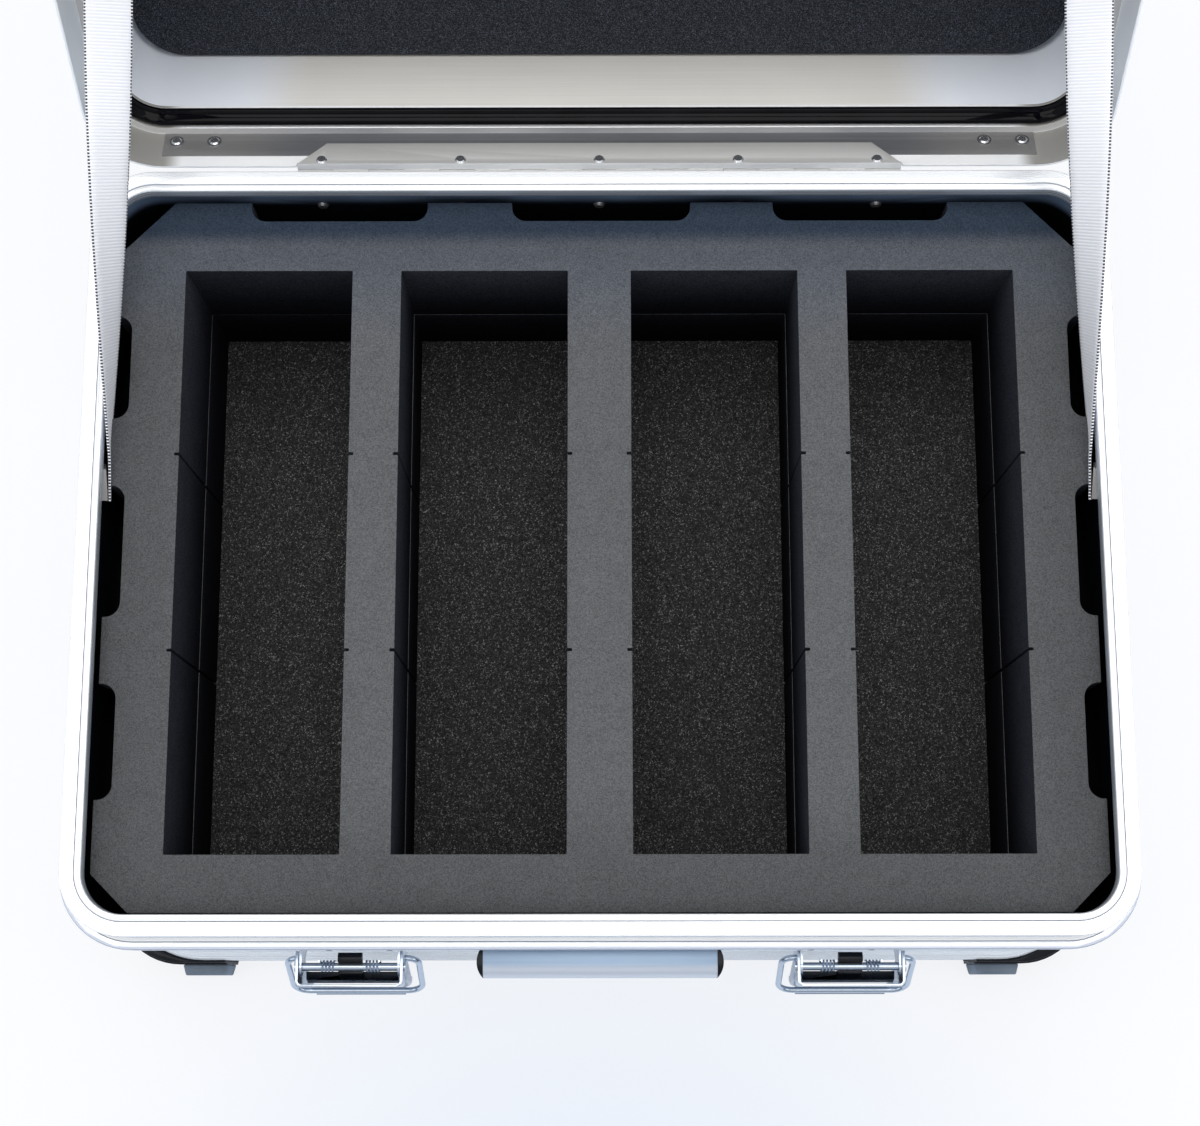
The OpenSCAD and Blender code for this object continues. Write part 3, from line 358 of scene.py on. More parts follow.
def drawn_metal(name, colour, roughness, streaks=(900, 900, 18), metallic=0.5, contrast=0.08, relief=0.1,
                ends=None, ends_at=(0.30, 0.37), front=None, corner=None, under=None, under_from=-1.0):
    """Extruded or rolled metal: fine lines along one direction, with painted light and shade on some of its
    faces.

    ends is the tint past the distances ends_at from the middle, front the paler tint of the handle's front, past
    its painted shade, corner the painted shade of the lid frame's rear corners, and under the painted tint of the
    lid's downward faces over the height under_from: shade on the frame, a highlight on the hinge plate.
    """
    s = Shader(name, colour, roughness, metallic=metallic)
    lines = s.noise(s.place(scale=streaks), 1.0)
    cloud = s.noise(s.place(), 9.0)
    low = tuple(c * (1 - contrast) for c in colour)
    high = tuple(min(1.0, c * (1 + contrast)) for c in colour)
    tone = s.math("ADD", s.math("MULTIPLY", lines, 0.6), s.math("MULTIPLY", cloud, 0.4))
    face = s.ramp(tone, [(0.32, low), (0.68, high)])
    if ends:
        face = s.mix(s.fade(s.from_middle("X"), *ends_at), face, ends)
    # Painted shade on the handle, paler at its front.
    if front:
        face = s.mix(s.fade(s.axis("Y"), *HANDLE_FRONT), face, front)
    # Painted shade at the lid frame's rear corners.
    if corner:
        face = s.mix(lid_corner_shade_zone(s), face, corner)
    # Painted tint on the lid's downward faces: shade on the frame, a highlight on the hinge plate.
    if under:
        below = s.both(s.math("GREATER_THAN", s.facing(LID_UNDERSIDE), 0.9),
                       s.math("GREATER_THAN", s.lid_height(), under_from))
        face = s.mix(below, face, underside_shade_and_light(s, under, (0.6, 0.59, 0.57)))
    s.into("Base Color", face)
    s.into("Roughness", s.span(lines, roughness - 0.05, roughness + 0.08))
    if relief:
        s.bump(lines, relief, 0.00006)
    return s.material


# Distances from the ledge's outline, in metres: the outer band of the ledge, which takes a painted bluish
# reflection, and the wall over it
OUTER_REFLECTION_BAND = (-0.0042, -0.0018)
INNER_WALL = -0.0235
SWEEP_LINES = 1500.0


def rim_metal():
    """The mouth frame: lines that follow its sweep, a painted bluish reflection on the outer band, and painted
    shade on the upright inner and step faces.
    """
    s = Shader("satin_rim_aluminium", (0.90, 0.915, 0.93), 0.26, metallic=0.55)
    across = s.math("SUBTRACT", s.from_middle("X"), (CASE_W / 2 - OUTLINE_R) * MM)
    along = s.math("SUBTRACT", s.from_middle("Y"), (CASE_D / 2 - OUTLINE_R) * MM)
    corner = s.math("SQRT", s.math("ADD", s.math("POWER", s.math("MAXIMUM", across, 0.0), 2.0),
                                   s.math("POWER", s.math("MAXIMUM", along, 0.0), 2.0)))
    straight = s.math("MINIMUM", s.math("MAXIMUM", across, along), 0.0)
    away = s.math("SUBTRACT", s.math("ADD", corner, straight), OUTLINE_R * MM)
    sweep = s.node("ShaderNodeCombineXYZ")
    s.link(s.math("MULTIPLY", away, SWEEP_LINES), sweep.inputs["X"])
    s.link(s.math("MULTIPLY", s.axis("Z"), SWEEP_LINES), sweep.inputs["Y"])
    lines = s.noise(sweep.outputs["Vector"], 1.0, detail=2.0)
    face = s.ramp(lines, [(0.3, (0.875, 0.89, 0.91)), (0.7, (0.925, 0.94, 0.955))])
    # Painted reflection: a cool lavender band near the outer edge of the ledge.
    face = s.mix(s.fade(away, *OUTER_REFLECTION_BAND), face, (0.60, 0.64, 0.74))
    # Painted shade on upright faces: the inner face a little darker and bluer, the step face darker still.
    upright_face = s.math("LESS_THAN", s.levelness(), 0.6)
    inner = s.both(upright_face, s.math("LESS_THAN", away, INNER_WALL))
    face = s.mix(inner, face, (0.84, 0.89, 0.97))
    step = s.both(upright_face, s.math("GREATER_THAN", away, INNER_WALL))
    face = s.mix(step, face, (0.62, 0.68, 0.77))
    s.into("Base Color", face)
    s.into("Roughness", s.span(lines, 0.22, 0.32))
    return s.material


# Where painted light goes on the lining: under the rim, at the rear
LIT_Z, LIT_Y = (0.274, 0.290), (0.18, 0.27)


def moulded(name, colour, roughness, grain=0.00012, gloss=0.3, low=None):
    """Moulded plastic or rubber with a fine leathery grain; low, if given, is its colour outside the zone of
    painted highlight, where colour is that painted highlight.
    """
    s = Shader(name, colour, roughness)
    cells = s.node("ShaderNodeTexVoronoi", scale=900.0)
    s.link(s.place(), cells.inputs["Vector"])
    cloud = s.noise(s.place(), 25.0, detail=4.0)
    s.into("Roughness", s.span(cloud, roughness - 0.08, roughness + 0.1))
    lift = tuple(min(1.0, c * 1.5 + 0.002) for c in colour)
    face = s.ramp(cloud, [(0.35, colour), (0.75, lift)])
    # Painted highlight: colour under the rim at the rear, low elsewhere.
    if low:
        face = s.mix(s.both(s.fade(s.axis("Z"), *LIT_Z), s.fade(s.axis("Y"), *LIT_Y)), low, face)
    s.into("Base Color", face)
    s.set("Specular IOR Level", gloss)
    s.bump(cells.outputs["Distance"], 0.2, grain)
    return s.material


# Zones of the insert, in metres: a bluish painted shade towards the rear, the lid's painted shadow on the strip
# under it, painted light on the middle, and painted shade down a pocket
REAR_SHADE_Y, LID_SHADOW_Y = (0.14, 0.22), (0.236, 0.252)
LIT_MIDDLE_X, LIT_MIDDLE_Y = (0.345, 0.27), (0.25, 0.17)
POCKET_SHADE_Z = (0.15, 0.285)


def closed_foam(name, dark, light, cell, depth, wall=None, flecks=None, strip=None, haze=(0.06, 0.12)):
    """Cut closed-cell foam, with cells of uneven tone.

    wall holds two tones of painted shade for its cut walls, darker down a pocket, flecks the brightness of pale
    curls, strip the painted bluish shadow of the lid for its rear strip, with painted light on the middle, and
    haze its sheen and gloss.
    """
    s = Shader(name, light, 0.95)
    where = s.place()
    grain = s.node("ShaderNodeTexVoronoi", scale=cell)
    s.link(where, grain.inputs["Vector"])
    tone = s.node("ShaderNodeSeparateColor")
    s.link(grain.outputs["Color"], tone.inputs["Color"])
    fine = s.noise(where, cell * 1.3, detail=2.0)
    broad = s.noise(where, 60.0, detail=2.0)
    value = s.math("ADD", s.math("MULTIPLY", tone.outputs[0], 0.45),
                   s.math("ADD", s.math("MULTIPLY", fine, 0.40), s.math("MULTIPLY", broad, 0.15)))
    face = s.ramp(value, [(0.20, dark), (0.80, light)])
    # Painted shade and light: bluish towards the rear, the lid's shadow on the rear strip, lighter in the middle.
    if strip:
        face = s.shade(face, s.fade(s.axis("Y"), *REAR_SHADE_Y), (0.95, 1.0, 1.12))
        face = s.shade(face, s.fade(s.axis("Y"), *LID_SHADOW_Y), strip)
        middle = s.both(s.fade(s.from_middle("X"), *LIT_MIDDLE_X), s.fade(s.from_middle("Y"), *LIT_MIDDLE_Y))
        face = s.shade(face, middle, (1.27, 1.27, 1.27))
    if flecks:
        curls = s.math("ABSOLUTE", s.math("SUBTRACT", s.noise(where, cell * 0.95, detail=1.0), 0.5))
        face = s.mix(s.fade(curls, 0.05, 0.015), face, s.ramp(tone.outputs[1], flecks), "ADD")
    # Painted shade: the cut walls are darker than the top, and darker still down a pocket.
    if wall:
        sides = s.ramp(value, [(0.2, wall[0]), (0.85, wall[1])])
        depth_shade = s.mix(s.fade(s.axis("Z"), *POCKET_SHADE_Z), (0.22, 0.22, 0.24), WHITE)
        sides = s.mix(1.0, sides, depth_shade, "MULTIPLY")
        face = s.mix(s.math("GREATER_THAN", s.levelness(), 0.6), sides, face)
    s.into("Base Color", face)
    s.set("Sheen Weight", haze[0])
    s.set("Specular IOR Level", haze[1])
    height = s.math("ADD", s.math("MULTIPLY", grain.outputs["Distance"], 0.7),
                    s.math("MULTIPLY", tone.outputs[2], 0.4))
    s.bump(height, 0.4, depth)
    return s.material


ALONG_X = (5, 1300, 1300)

RIM_METAL = rim_metal()
# Painted shade in the rim's two grooves.
GROOVE_METAL = drawn_metal("rim_groove_shade", (0.33, 0.36, 0.43), 0.5, relief=0)
SHEET_METAL = drawn_metal("case_sheet_aluminium", (0.80, 0.85, 0.91), 0.36, streaks=(900, 900, 30), metallic=0.3)
# Painted reflection: warm in the middle, cool bluish towards the ends.
LINER_METAL = drawn_metal("lid_lining_aluminium", (0.77, 0.745, 0.70), 0.42, streaks=(5, 900, 900),
                          metallic=0.1, contrast=0.06, relief=0.05,
                          ends=(0.84, 0.87, 0.93), ends_at=(0.225, 0.29))
# Painted highlight on the plate's downward faces.
PLATE_METAL = drawn_metal("brushed_hinge_plate", (0.60, 0.595, 0.58), 0.38, streaks=ALONG_X,
                          metallic=0.2, contrast=0.05, relief=0.05, under=(0.95, 0.95, 0.94))
STRIP_METAL = drawn_metal("dark_cover_strip", (0.165, 0.17, 0.182), 0.34, streaks=ALONG_X,
                          metallic=0.35, contrast=0.18, relief=0.05,
                          ends=(0.27, 0.265, 0.26), ends_at=(0.22, 0.31))
# Painted light and shade: a bluish reflection on the sides, shade at the rear corners and on the downward faces.
FRAME_METAL = drawn_metal("lid_frame_aluminium", (0.965, 0.97, 0.975), 0.30,
                          metallic=0.06, contrast=0.015, relief=0,
                          ends=(0.93, 0.965, 1.0), ends_at=(0.375, 0.385), corner=(0.34, 0.33, 0.31),
                          under=(0.40, 0.40, 0.41), under_from=0.030)
# Its blue-grey colour is a painted reflection of the shade under the ledge.
LATCH_METAL = drawn_metal("satin_latch_steel", (0.52, 0.58, 0.67), 0.20, metallic=0.9, contrast=0.1, relief=0)
WIRE_METAL = drawn_metal("polished_wire", (0.46, 0.53, 0.63), 0.16, metallic=0.95, contrast=0.05, relief=0)
# The blue-grey colour is painted shade and reflection from under the ledge, paler at the front.
HANDLE_METAL = drawn_metal("handle_aluminium_painted_shade", (0.29, 0.385, 0.51), 0.36, streaks=(10, 900, 900),
                           metallic=0.4, front=(0.62, 0.67, 0.76))
RIVET_METAL = drawn_metal("rivet_aluminium", (0.62, 0.63, 0.65), 0.20, metallic=0.9, relief=0)

BLACK_PLASTIC = moulded("black_moulded_plastic", (0.002, 0.003, 0.006), 0.26, gloss=0.2)
GREY_PLASTIC = moulded("slate_grey_plastic", (0.145, 0.185, 0.235), 0.5)
# Painted highlight: the bluish colour only under the rim at the rear; near black elsewhere.
DARK_LINING = moulded("dark_lining_board", (0.12, 0.17, 0.26), 0.30, gloss=0.5, low=(0.003, 0.004, 0.006))
GASKET_RUBBER = moulded("glossy_seal_rubber", (0.002, 0.002, 0.003), 0.07, grain=0.00001, gloss=0.09)

GREY_FOAM = closed_foam("grey_cut_foam", (0.050, 0.052, 0.054), (0.119, 0.122, 0.127), 1400.0, 0.0003,
                        wall=((0.008, 0.009, 0.013), (0.052, 0.056, 0.070)), strip=(0.36, 0.47, 0.60),
                        haze=(0.0, 0.03))
DARK_FOAM = closed_foam("dark_cut_foam", (0.030, 0.031, 0.034), (0.062, 0.064, 0.069), 900.0, 0.0003)
SPECK_FOAM = closed_foam("speckled_pad_foam", (0.010, 0.010, 0.010), (0.040, 0.040, 0.040), 760.0, 0.0004,
                         flecks=[(0.10, (0.0, 0.0, 0.0)), (0.60, (0.05, 0.05, 0.05)), (1.0, (0.36, 0.36, 0.36))])
LID_FOAM = closed_foam("lid_sheet_foam", (0.001, 0.002, 0.004), (0.017, 0.019, 0.026), 1050.0, 0.0004,
                       flecks=[(0.10, (0.0, 0.0, 0.0)), (1.0, (0.12, 0.134, 0.16))])


# Foam insert

# Finger recesses in the rear and side edges: middle and length of each
REAR_CUTS = [(-202.5, 137.0), (1.5, 139.0), (203.5, 136.0)]
SIDE_CUTS = [(140.5, 81.0), (-3.5, 101.0), (-148.0, 86.0)]
REAR_CUT_D, SIDE_CUT_D, CUT_R = 15.0, 13.0, 11.0
POCKET_X = [-256.0, -89.0, 89.0, 256.0]
POCKET_W, POCKET_LOW_Y, POCKET_HIGH_Y = 129.0, -231.2, 217.8
SLOT_Y = [71.8, -79.5]
SLOT_W, SLOT_D = 2.0, 3.8
FRONT_CHAMFER, REAR_CHAMFER = 28.5, 43.0
FOAM_EDGE, LID_FOAM_EDGE = 0.7, 0.9
LAYER_GAP, LOWER_INSET = 0.1, 0.45
PAST = 5.0      # how far a cutter reaches out of the foam above and below
PAST_EDGE = 9.0


def foam_blank(name, low_z, high_z):
    """A foam block in the outline of the insert, with its four corners cut off."""
    piece = block(name, (-FOAM_HW, -FOAM_HD, low_z), (FOAM_HW, FOAM_HD, high_z))
    round_edges(piece, lambda a, b: upright(a, b) and a.y < 0, FRONT_CHAMFER, 1)
    round_edges(piece, lambda a, b: upright(a, b) and a.y > FOAM_HD - 1, REAR_CHAMFER, 1)
    return piece


def pocket_cutters(low_z, high_z, inset=0.0):
    """The long pockets, each with divider slots that reach out of both its sides."""
    half = POCKET_W / 2 - inset
    reach = half + SLOT_D
    out = []
    for i, x in enumerate(POCKET_X):
        out.append(block(f"pocket_cut_{i}", (x - half, POCKET_LOW_Y, low_z), (x + half, POCKET_HIGH_Y, high_z)))
        for k, y in enumerate(SLOT_Y):
            out.append(block(f"slot_cut_{i}_{k}", (x - reach, y - SLOT_W / 2, low_z),
                             (x + reach, y + SLOT_W / 2, high_z)))
    return out


def finger_cutters(low_z, high_z):
    """Rounded recesses in the rear and side edges."""
    out = []
    for i, (x, length) in enumerate(REAR_CUTS):
        c = block(f"rear_cut_{i}", (x - length / 2, FOAM_HD - REAR_CUT_D, low_z),
                  (x + length / 2, FOAM_HD + PAST_EDGE, high_z))
        round_edges(c, lambda a, b: upright(a, b) and a.y < FOAM_HD, CUT_R, 8)
        out.append(c)
    for side in (-1, 1):
        for i, (y, length) in enumerate(SIDE_CUTS):
            ends = sorted((side * (FOAM_HW - SIDE_CUT_D), side * (FOAM_HW + PAST_EDGE)))
            c = block(f"side_cut_{side}_{i}", (ends[0], y - length / 2, low_z), (ends[1], y + length / 2, high_z))
            round_edges(c, lambda a, b: upright(a, b) and abs(a.x) < FOAM_HW, CUT_R, 8)
            out.append(c)
    return out


def make_foams():
    """The four layers of the insert, from the top down, with a fine line between them."""
    top = foam_blank("foam_top", FOAM_JOINT_Z + 2 * LAYER_GAP, FOAM_TOP_Z)
    low_z, high_z = FOAM_JOINT_Z - PAST, FOAM_TOP_Z + PAST
    cut(top, pocket_cutters(low_z, high_z) + finger_cutters(low_z, high_z))
    soften(top, FOAM_EDGE)
    finish_part(top, "base", "grey_foam", GREY_FOAM, "foam_top_front", "foam_top_rear", "foam_top_left",
                "foam_top_right", "foam_top_webs")
    lower = foam_blank("foam_lower", POCKET_FLOOR_Z + LAYER_GAP, FOAM_JOINT_Z - 2 * LAYER_GAP)
    cut(lower, pocket_cutters(POCKET_FLOOR_Z - PAST, FOAM_JOINT_Z + PAST, inset=LOWER_INSET))
    soften(lower, FOAM_EDGE)
    finish_part(lower, "base", "grey_foam", GREY_FOAM, "foam_lower_layer")
    pad = foam_blank("foam_pad", PAD_Z + LAYER_GAP, POCKET_FLOOR_Z - LAYER_GAP)
    soften(pad, FOAM_EDGE)
    finish_part(pad, "base", "speckled_foam", SPECK_FOAM, "foam_floor_pad")
    under = foam_blank("foam_block", TUB_FLOOR_Z, PAD_Z - LAYER_GAP)
    soften(under, FOAM_EDGE)
    finish_part(under, "base", "dark_foam", DARK_FOAM, "foam_base_block")


def turned_with_lid(piece):
    """Turns a piece that was made with the lid closed to the open rest pose."""
    hinge = Matrix.Translation((0, HINGE_Y * MM, HINGE_Z * MM))
    piece.matrix_world = hinge @ Matrix.Rotation(-LID_OPEN, 4, "X") @ hinge.inverted() @ piece.matrix_world
    return settle(piece)


LID_FOAM_HW, LID_FOAM_HD, LID_FOAM_Z, LID_FOAM_R = 372.7, 272.7, (394.7, 406.3), 39.0


def make_lid_foam():
    """The sheet in the top of the lid, with round corners."""
    piece = block("lid_foam_sheet", (-LID_FOAM_HW, -LID_FOAM_HD, LID_FOAM_Z[0]),
                  (LID_FOAM_HW, LID_FOAM_HD, LID_FOAM_Z[1]))
    round_edges(piece, upright, LID_FOAM_R, 14)
    soften(piece, LID_FOAM_EDGE)
    turned_with_lid(piece)
    finish_part(piece, "lid", "speckled_foam", LID_FOAM, "lid_foam")


# Straps

# A strap's width, thickness, and the untwisted length at each end
STRAP_W, STRAP_T, STRAP_FLAT = 35.0, 2.0, 32.0
STRAP_BASE = Vector((375.8, 42.0, 282.0))
STRAP_LEAN = math.radians(13.0)

# Its end in the lid: place across, distance from the hinge, and height in the lid
STRAP_LID_X, STRAP_LID_D, STRAP_LID_T = 350.0, 235.0, 35.0

RIB_PITCH, RINGS_A_RIB, RIB_RISE = 2.4, 6, 0.28
SAW_DEPTH, THIN_EDGE = 0.45, 0.45
COLUMNS = [-1.0, -0.97, -0.6, -0.2, 0.2, 0.6, 0.97, 1.0]
CLAMPED = 14.0      # the part of each end that lies in its clamp


def strap_lid_end():
    """Where a strap ends in the open lid."""
    c, s = math.cos(LID_OPEN), math.sin(LID_OPEN)
    return Vector((STRAP_LID_X, HINGE_Y - STRAP_LID_D * c + STRAP_LID_T * s,
                   HINGE_Z + STRAP_LID_D * s + STRAP_LID_T * c))


THREADS = 46
LID_END_SHADE = (110.0, 180.0)


def webbing():
    """Ribbed polyester webbing: pale ribs with fine threads, painted shade in the valleys between ribs and
    towards the lid end, and dark notches along both edges.
    """
    s = Shader("ribbed_webbing", (0.80, 0.80, 0.88), 0.62)
    uv = s.node("ShaderNodeUVMap", uv_map="weave")
    parts = s.node("ShaderNodeSeparateXYZ")
    s.link(uv.outputs["UV"], parts.inputs["Vector"])
    across, along = parts.outputs["X"], parts.outputs["Y"]
    phase = s.math("FRACT", along)
    valley = s.math("ABSOLUTE", s.math("SUBTRACT", phase, 0.5))
    threads = s.math("SINE", s.math("MULTIPLY", across, 2 * math.pi * THREADS))
    edge = s.math("ABSOLUTE", s.math("SUBTRACT", across, 0.5))
    notch = s.both(s.math("GREATER_THAN", edge, 0.464), s.math("GREATER_THAN", valley, 0.2))
    # Painted shade: valleys darker and bluer than the crests, and darker towards the lid end.
    body = s.ramp(valley, [(0.0, (0.95, 0.95, 0.985)), (0.36, (0.94, 0.945, 0.98)), (0.5, (0.79, 0.81, 0.89))])
    body = s.shade(body, s.fade(along, *LID_END_SHADE), (0.82, 0.82, 0.83))
    s.into("Base Color", s.mix(notch, body, (0.03, 0.035, 0.05)))
    s.set("Sheen Weight", 0.25)
    height = s.math("ADD", s.math("MULTIPLY", threads, 0.35), s.noise(s.place(), 1400.0))
    s.bump(height, 0.35, 0.00012)
    return s.material


def strap_path(mirror):
    """Centre, across and thickness directions at a distance s along the strap."""
    start, end = STRAP_BASE, strap_lid_end()
    run = end - start
    length = run.length
    forward = run / length
    side = (Vector((1, 0, 0)) - forward * forward.x).normalized()
    up = side.cross(forward)

    def at(s):
        turn = min(1.0, max(0.0, (s - STRAP_FLAT) / (length - 2 * STRAP_FLAT)))
        a = (math.pi / 2 + STRAP_LEAN) * turn - STRAP_LEAN
        across = math.cos(a) * up + math.sin(a) * side
        thick = forward.cross(across)
        flip = Vector((mirror, 1, 1))
        return [Vector(p[i] * flip[i] for i in range(3)) for p in (start + forward * s, across, thick)]

    return length, at


def strap_mesh(name, mirror):
    """One ribbon, ring by ring: ribs across it and a fine saw-tooth along its edges."""
    length, at = strap_path(mirror)
    rings = int(round(length / RIB_PITCH)) * RINGS_A_RIB
    n = len(COLUMNS)
    points, uvs, faces = [], [], []
    for i in range(rings + 1):
        s = length * i / rings
        crest = abs(math.sin(math.pi * ((s / RIB_PITCH) % 1.0)))
        centre, across, thick = at(s)
        half_w = STRAP_W / 2 - SAW_DEPTH * (1 - crest)
        half_t = STRAP_T / 2 - RIB_RISE * (1 - crest)
        for face in (1, -1):
            for c in COLUMNS:
                edge_t = half_t * (THIN_EDGE if abs(c) == 1.0 else 1.0)
                points.append((centre + across * half_w * c + thick * edge_t * face) * MM)
                uvs.append(((c + 1) / 2, s / RIB_PITCH))
    ring = 2 * n
    loop = list(range(n)) + list(range(ring - 1, n - 1, -1))
    for i in range(rings):
        for k in range(ring):
            a, b = loop[k], loop[(k + 1) % ring]
            faces.append((i * ring + a, i * ring + b, (i + 1) * ring + b, (i + 1) * ring + a))
    faces.append(tuple(reversed(loop)))
    faces.append(tuple(rings * ring + k for k in loop))
    mesh = bpy.data.meshes.new(name)
    mesh.from_pydata([tuple(p) for p in points], [], faces)
    layer = mesh.uv_layers.new(name="weave")
    for corner in mesh.loops:
        layer.data[corner.index].uv = uvs[corner.vertex_index]
    piece = bpy.data.objects.new(name, mesh)
    bpy.context.scene.collection.objects.link(piece)
    pick(piece)
    bpy.ops.object.mode_set(mode="EDIT")
    bpy.ops.mesh.select_all(action="SELECT")
    bpy.ops.mesh.normals_make_consistent(inside=False)
    bpy.ops.object.mode_set(mode="OBJECT")
    bpy.ops.object.shade_smooth_by_angle(angle=math.radians(50))
    return piece


def make_straps():
    """Two stretched straps that go from the base to the lid."""
    material = webbing()
    for side, mirror in (("left", -1), ("right", 1)):
        piece = strap_mesh(f"webbing_{side}", mirror)
        paint(piece, material)
        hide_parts(f"strap_{side}")
        length, at = strap_path(mirror)
        start, end = at(CLAMPED)[0] * MM, at(length - CLAMPED)[0] * MM
        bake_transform(piece)


# Hard parts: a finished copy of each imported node, with its edges broken

LATCH_X, AXLE_Y, AXLE_Z = 187.0, -312.0, 250.0


def axle_window(side):
    """A cutter that opens the top of a catch, so that its axle shows."""
    x = side * LATCH_X
    return block("axle_window", (x - 12, AXLE_Y - 6, AXLE_Z + 0.2), (x + 12, AXLE_Y + 3.3, AXLE_Z + 9))


def finished_copy(node, name, material, slot, edge, cutters=()):
    """A piece with the shape of one of the model's nodes, cleaned, cut and with its edges broken."""
    source = nodes[node]
    body = source["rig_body"]
    piece = copy_of(source, name)
    for key in list(piece.keys()):
        del piece[key]
    world = piece.matrix_world.copy()
    piece.parent = None
    piece.matrix_world = world
    pick(piece)
    bpy.ops.object.mode_set(mode="EDIT")
    bpy.ops.mesh.select_all(action="SELECT")
    bpy.ops.mesh.remove_doubles(threshold=0.00001)
    bpy.ops.mesh.dissolve_limited(angle_limit=math.radians(0.6))
    bpy.ops.object.mode_set(mode="OBJECT")
    cut(piece, cutters)
    soften(piece, edge)
    finish_part(piece, body, slot, material, node)
    return piece


# Node, name of its piece, material, slot, and the round of its edges in millimetres
HARD_PARTS = [
    ("base_rim", "mouth_frame", RIM_METAL, "rim_profile", 0.15),
    ("base_shell", "tub_sheet", SHEET_METAL, "case_sheet", 0.5),
    ("base_edge_profiles", "edge_strips", SHEET_METAL, "case_sheet", 0.8),
    ("wall_liner", "lining_ring", DARK_LINING, "dark_lining", 0.5),
    ("bottom_runners", "runner_strips", BLACK_PLASTIC, "black_plastic", 1.0),
    ("corner_protectors", "corner_guards", BLACK_PLASTIC, "black_plastic", 1.2),
    ("corner_feet", "guard_feet", GREY_PLASTIC, "grey_plastic", 1.2),
    ("hinge_leaf_base", "fixed_hinge_leaf", PLATE_METAL, "hinge_steel", 0.2),
    ("hinge_leaf_lid", "moving_hinge_leaf", PLATE_METAL, "hinge_steel", 0.2),
    ("hinge_cover_strip", "seam_cover_strip", STRIP_METAL, "rim_profile", 0.2),
    ("lid_frame", "lid_edge_frame", FRAME_METAL, "rim_profile", 0.4),
    ("lid_shell", "lid_sheet", SHEET_METAL, "case_sheet", 0.5),
    ("lid_liner", "lid_inner_wall", LINER_METAL, "lid_lining", 0.3),
    ("lid_gasket", "lid_seal", GASKET_RUBBER, "black_rubber", 0.3),
    ("lid_corners", "lid_corner_guards", BLACK_PLASTIC, "black_plastic", 0.8),
    ("lid_keepers", "bail_hooks", LATCH_METAL, "latch_steel", 0.3),
    ("latch_plate_left", "latch_back_left", LATCH_METAL, "latch_steel", 0.3),
    ("latch_plate_right", "latch_back_right", LATCH_METAL, "latch_steel", 0.3),
    ("latch_lever_left", "latch_frame_left", LATCH_METAL, "latch_steel", 0.4),
    ("latch_lever_right", "latch_frame_right", LATCH_METAL, "latch_steel", 0.4),
    ("latch_catch_left", "catch_left", BLACK_PLASTIC, "black_plastic", 0.4),
    ("latch_catch_right", "catch_right", BLACK_PLASTIC, "black_plastic", 0.4),
    ("front_handle_housing", "front_handle_hood", HANDLE_METAL, "handle_metal", 0.5),
    ("left_handle_housing", "left_handle_hood", HANDLE_METAL, "handle_metal", 0.5),
    ("right_handle_housing", "right_handle_hood", HANDLE_METAL, "handle_metal", 0.5),
    ("front_handle_caps", "front_hood_ends", BLACK_PLASTIC, "black_plastic", 0.4),
    ("left_handle_caps", "left_hood_ends", BLACK_PLASTIC, "black_plastic", 0.4),
    ("right_handle_caps", "right_hood_ends", BLACK_PLASTIC, "black_plastic", 0.4),
]

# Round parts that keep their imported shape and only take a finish
PLAIN_PARTS = {
    "hinge_pin": PLATE_METAL, "hinge_rivets_base": RIVET_METAL, "hinge_rivets_lid": RIVET_METAL,
    "lid_rivets": RIVET_METAL, "latch_rivets": RIVET_METAL, "handle_rivets": RIVET_METAL,
    "latch_axles": LATCH_METAL, "handle_axles": LATCH_METAL, "handle_springs": WIRE_METAL,
    "latch_springs_left": WIRE_METAL, "latch_springs_right": WIRE_METAL,
    "latch_bail_left": WIRE_METAL, "latch_bail_right": WIRE_METAL,
    "strap_anchors_base": PLATE_METAL, "strap_anchors_lid": PLATE_METAL,
    "front_handle_loop": LATCH_METAL, "left_handle_loop": LATCH_METAL, "right_handle_loop": LATCH_METAL,
    "front_handle_grip": BLACK_PLASTIC, "left_handle_grip": BLACK_PLASTIC, "right_handle_grip": BLACK_PLASTIC,
}


def offset_from_ledge(point):
    """How far a point lies outside the case's outline at the ledge; inside it is negative."""
    x = abs(point.x) / MM - (CASE_W / 2 - OUTLINE_R)
    y = abs(point.y) / MM - (CASE_D / 2 - OUTLINE_R)
    return math.hypot(max(x, 0), max(y, 0)) + min(max(x, y), 0) - OUTLINE_R


UPPER_GROOVE, LOWER_GROOVE = -19.7, -6.0


def shade_grooves(rim):
    """The two fine grooves round the frame get a painted shade, darker than its faces."""
    rim.data.materials.append(GROOVE_METAL)
    for f in rim.data.polygons:
        away = offset_from_ledge(f.center)
        upper = abs(away - UPPER_GROOVE) < 0.5 and f.center.z / MM > RIM_Z - 1.2
        lower = abs(away - LOWER_GROOVE) < 0.45 and abs(f.center.z / MM - LEDGE_Z) < 1.0
        if (upper or lower) and f.normal.z < 0.93:
            f.material_index = 1


def make_hard_parts():
    """Dresses all the hard nodes."""
    windows = {"latch_catch_left": -1, "latch_catch_right": 1}
    for node, name, material, slot, edge in HARD_PARTS:
        cutters = [axle_window(windows[node])] if node in windows else []
        piece = finished_copy(node, name, material, slot, edge, cutters=cutters)
        if node == "base_rim":
            shade_grooves(piece)
    for node, material in PLAIN_PARTS.items():
        paint(nodes[node], material)


# Camera, floor and light

CAMERA_AT = (0.0036, -0.3189, 1.8232)
CAMERA_TILT, CAMERA_YAW, CAMERA_ROLL = math.radians(11.32), math.radians(0.62), math.radians(-0.70)
LENS, SENSOR = 61.9, 36.0


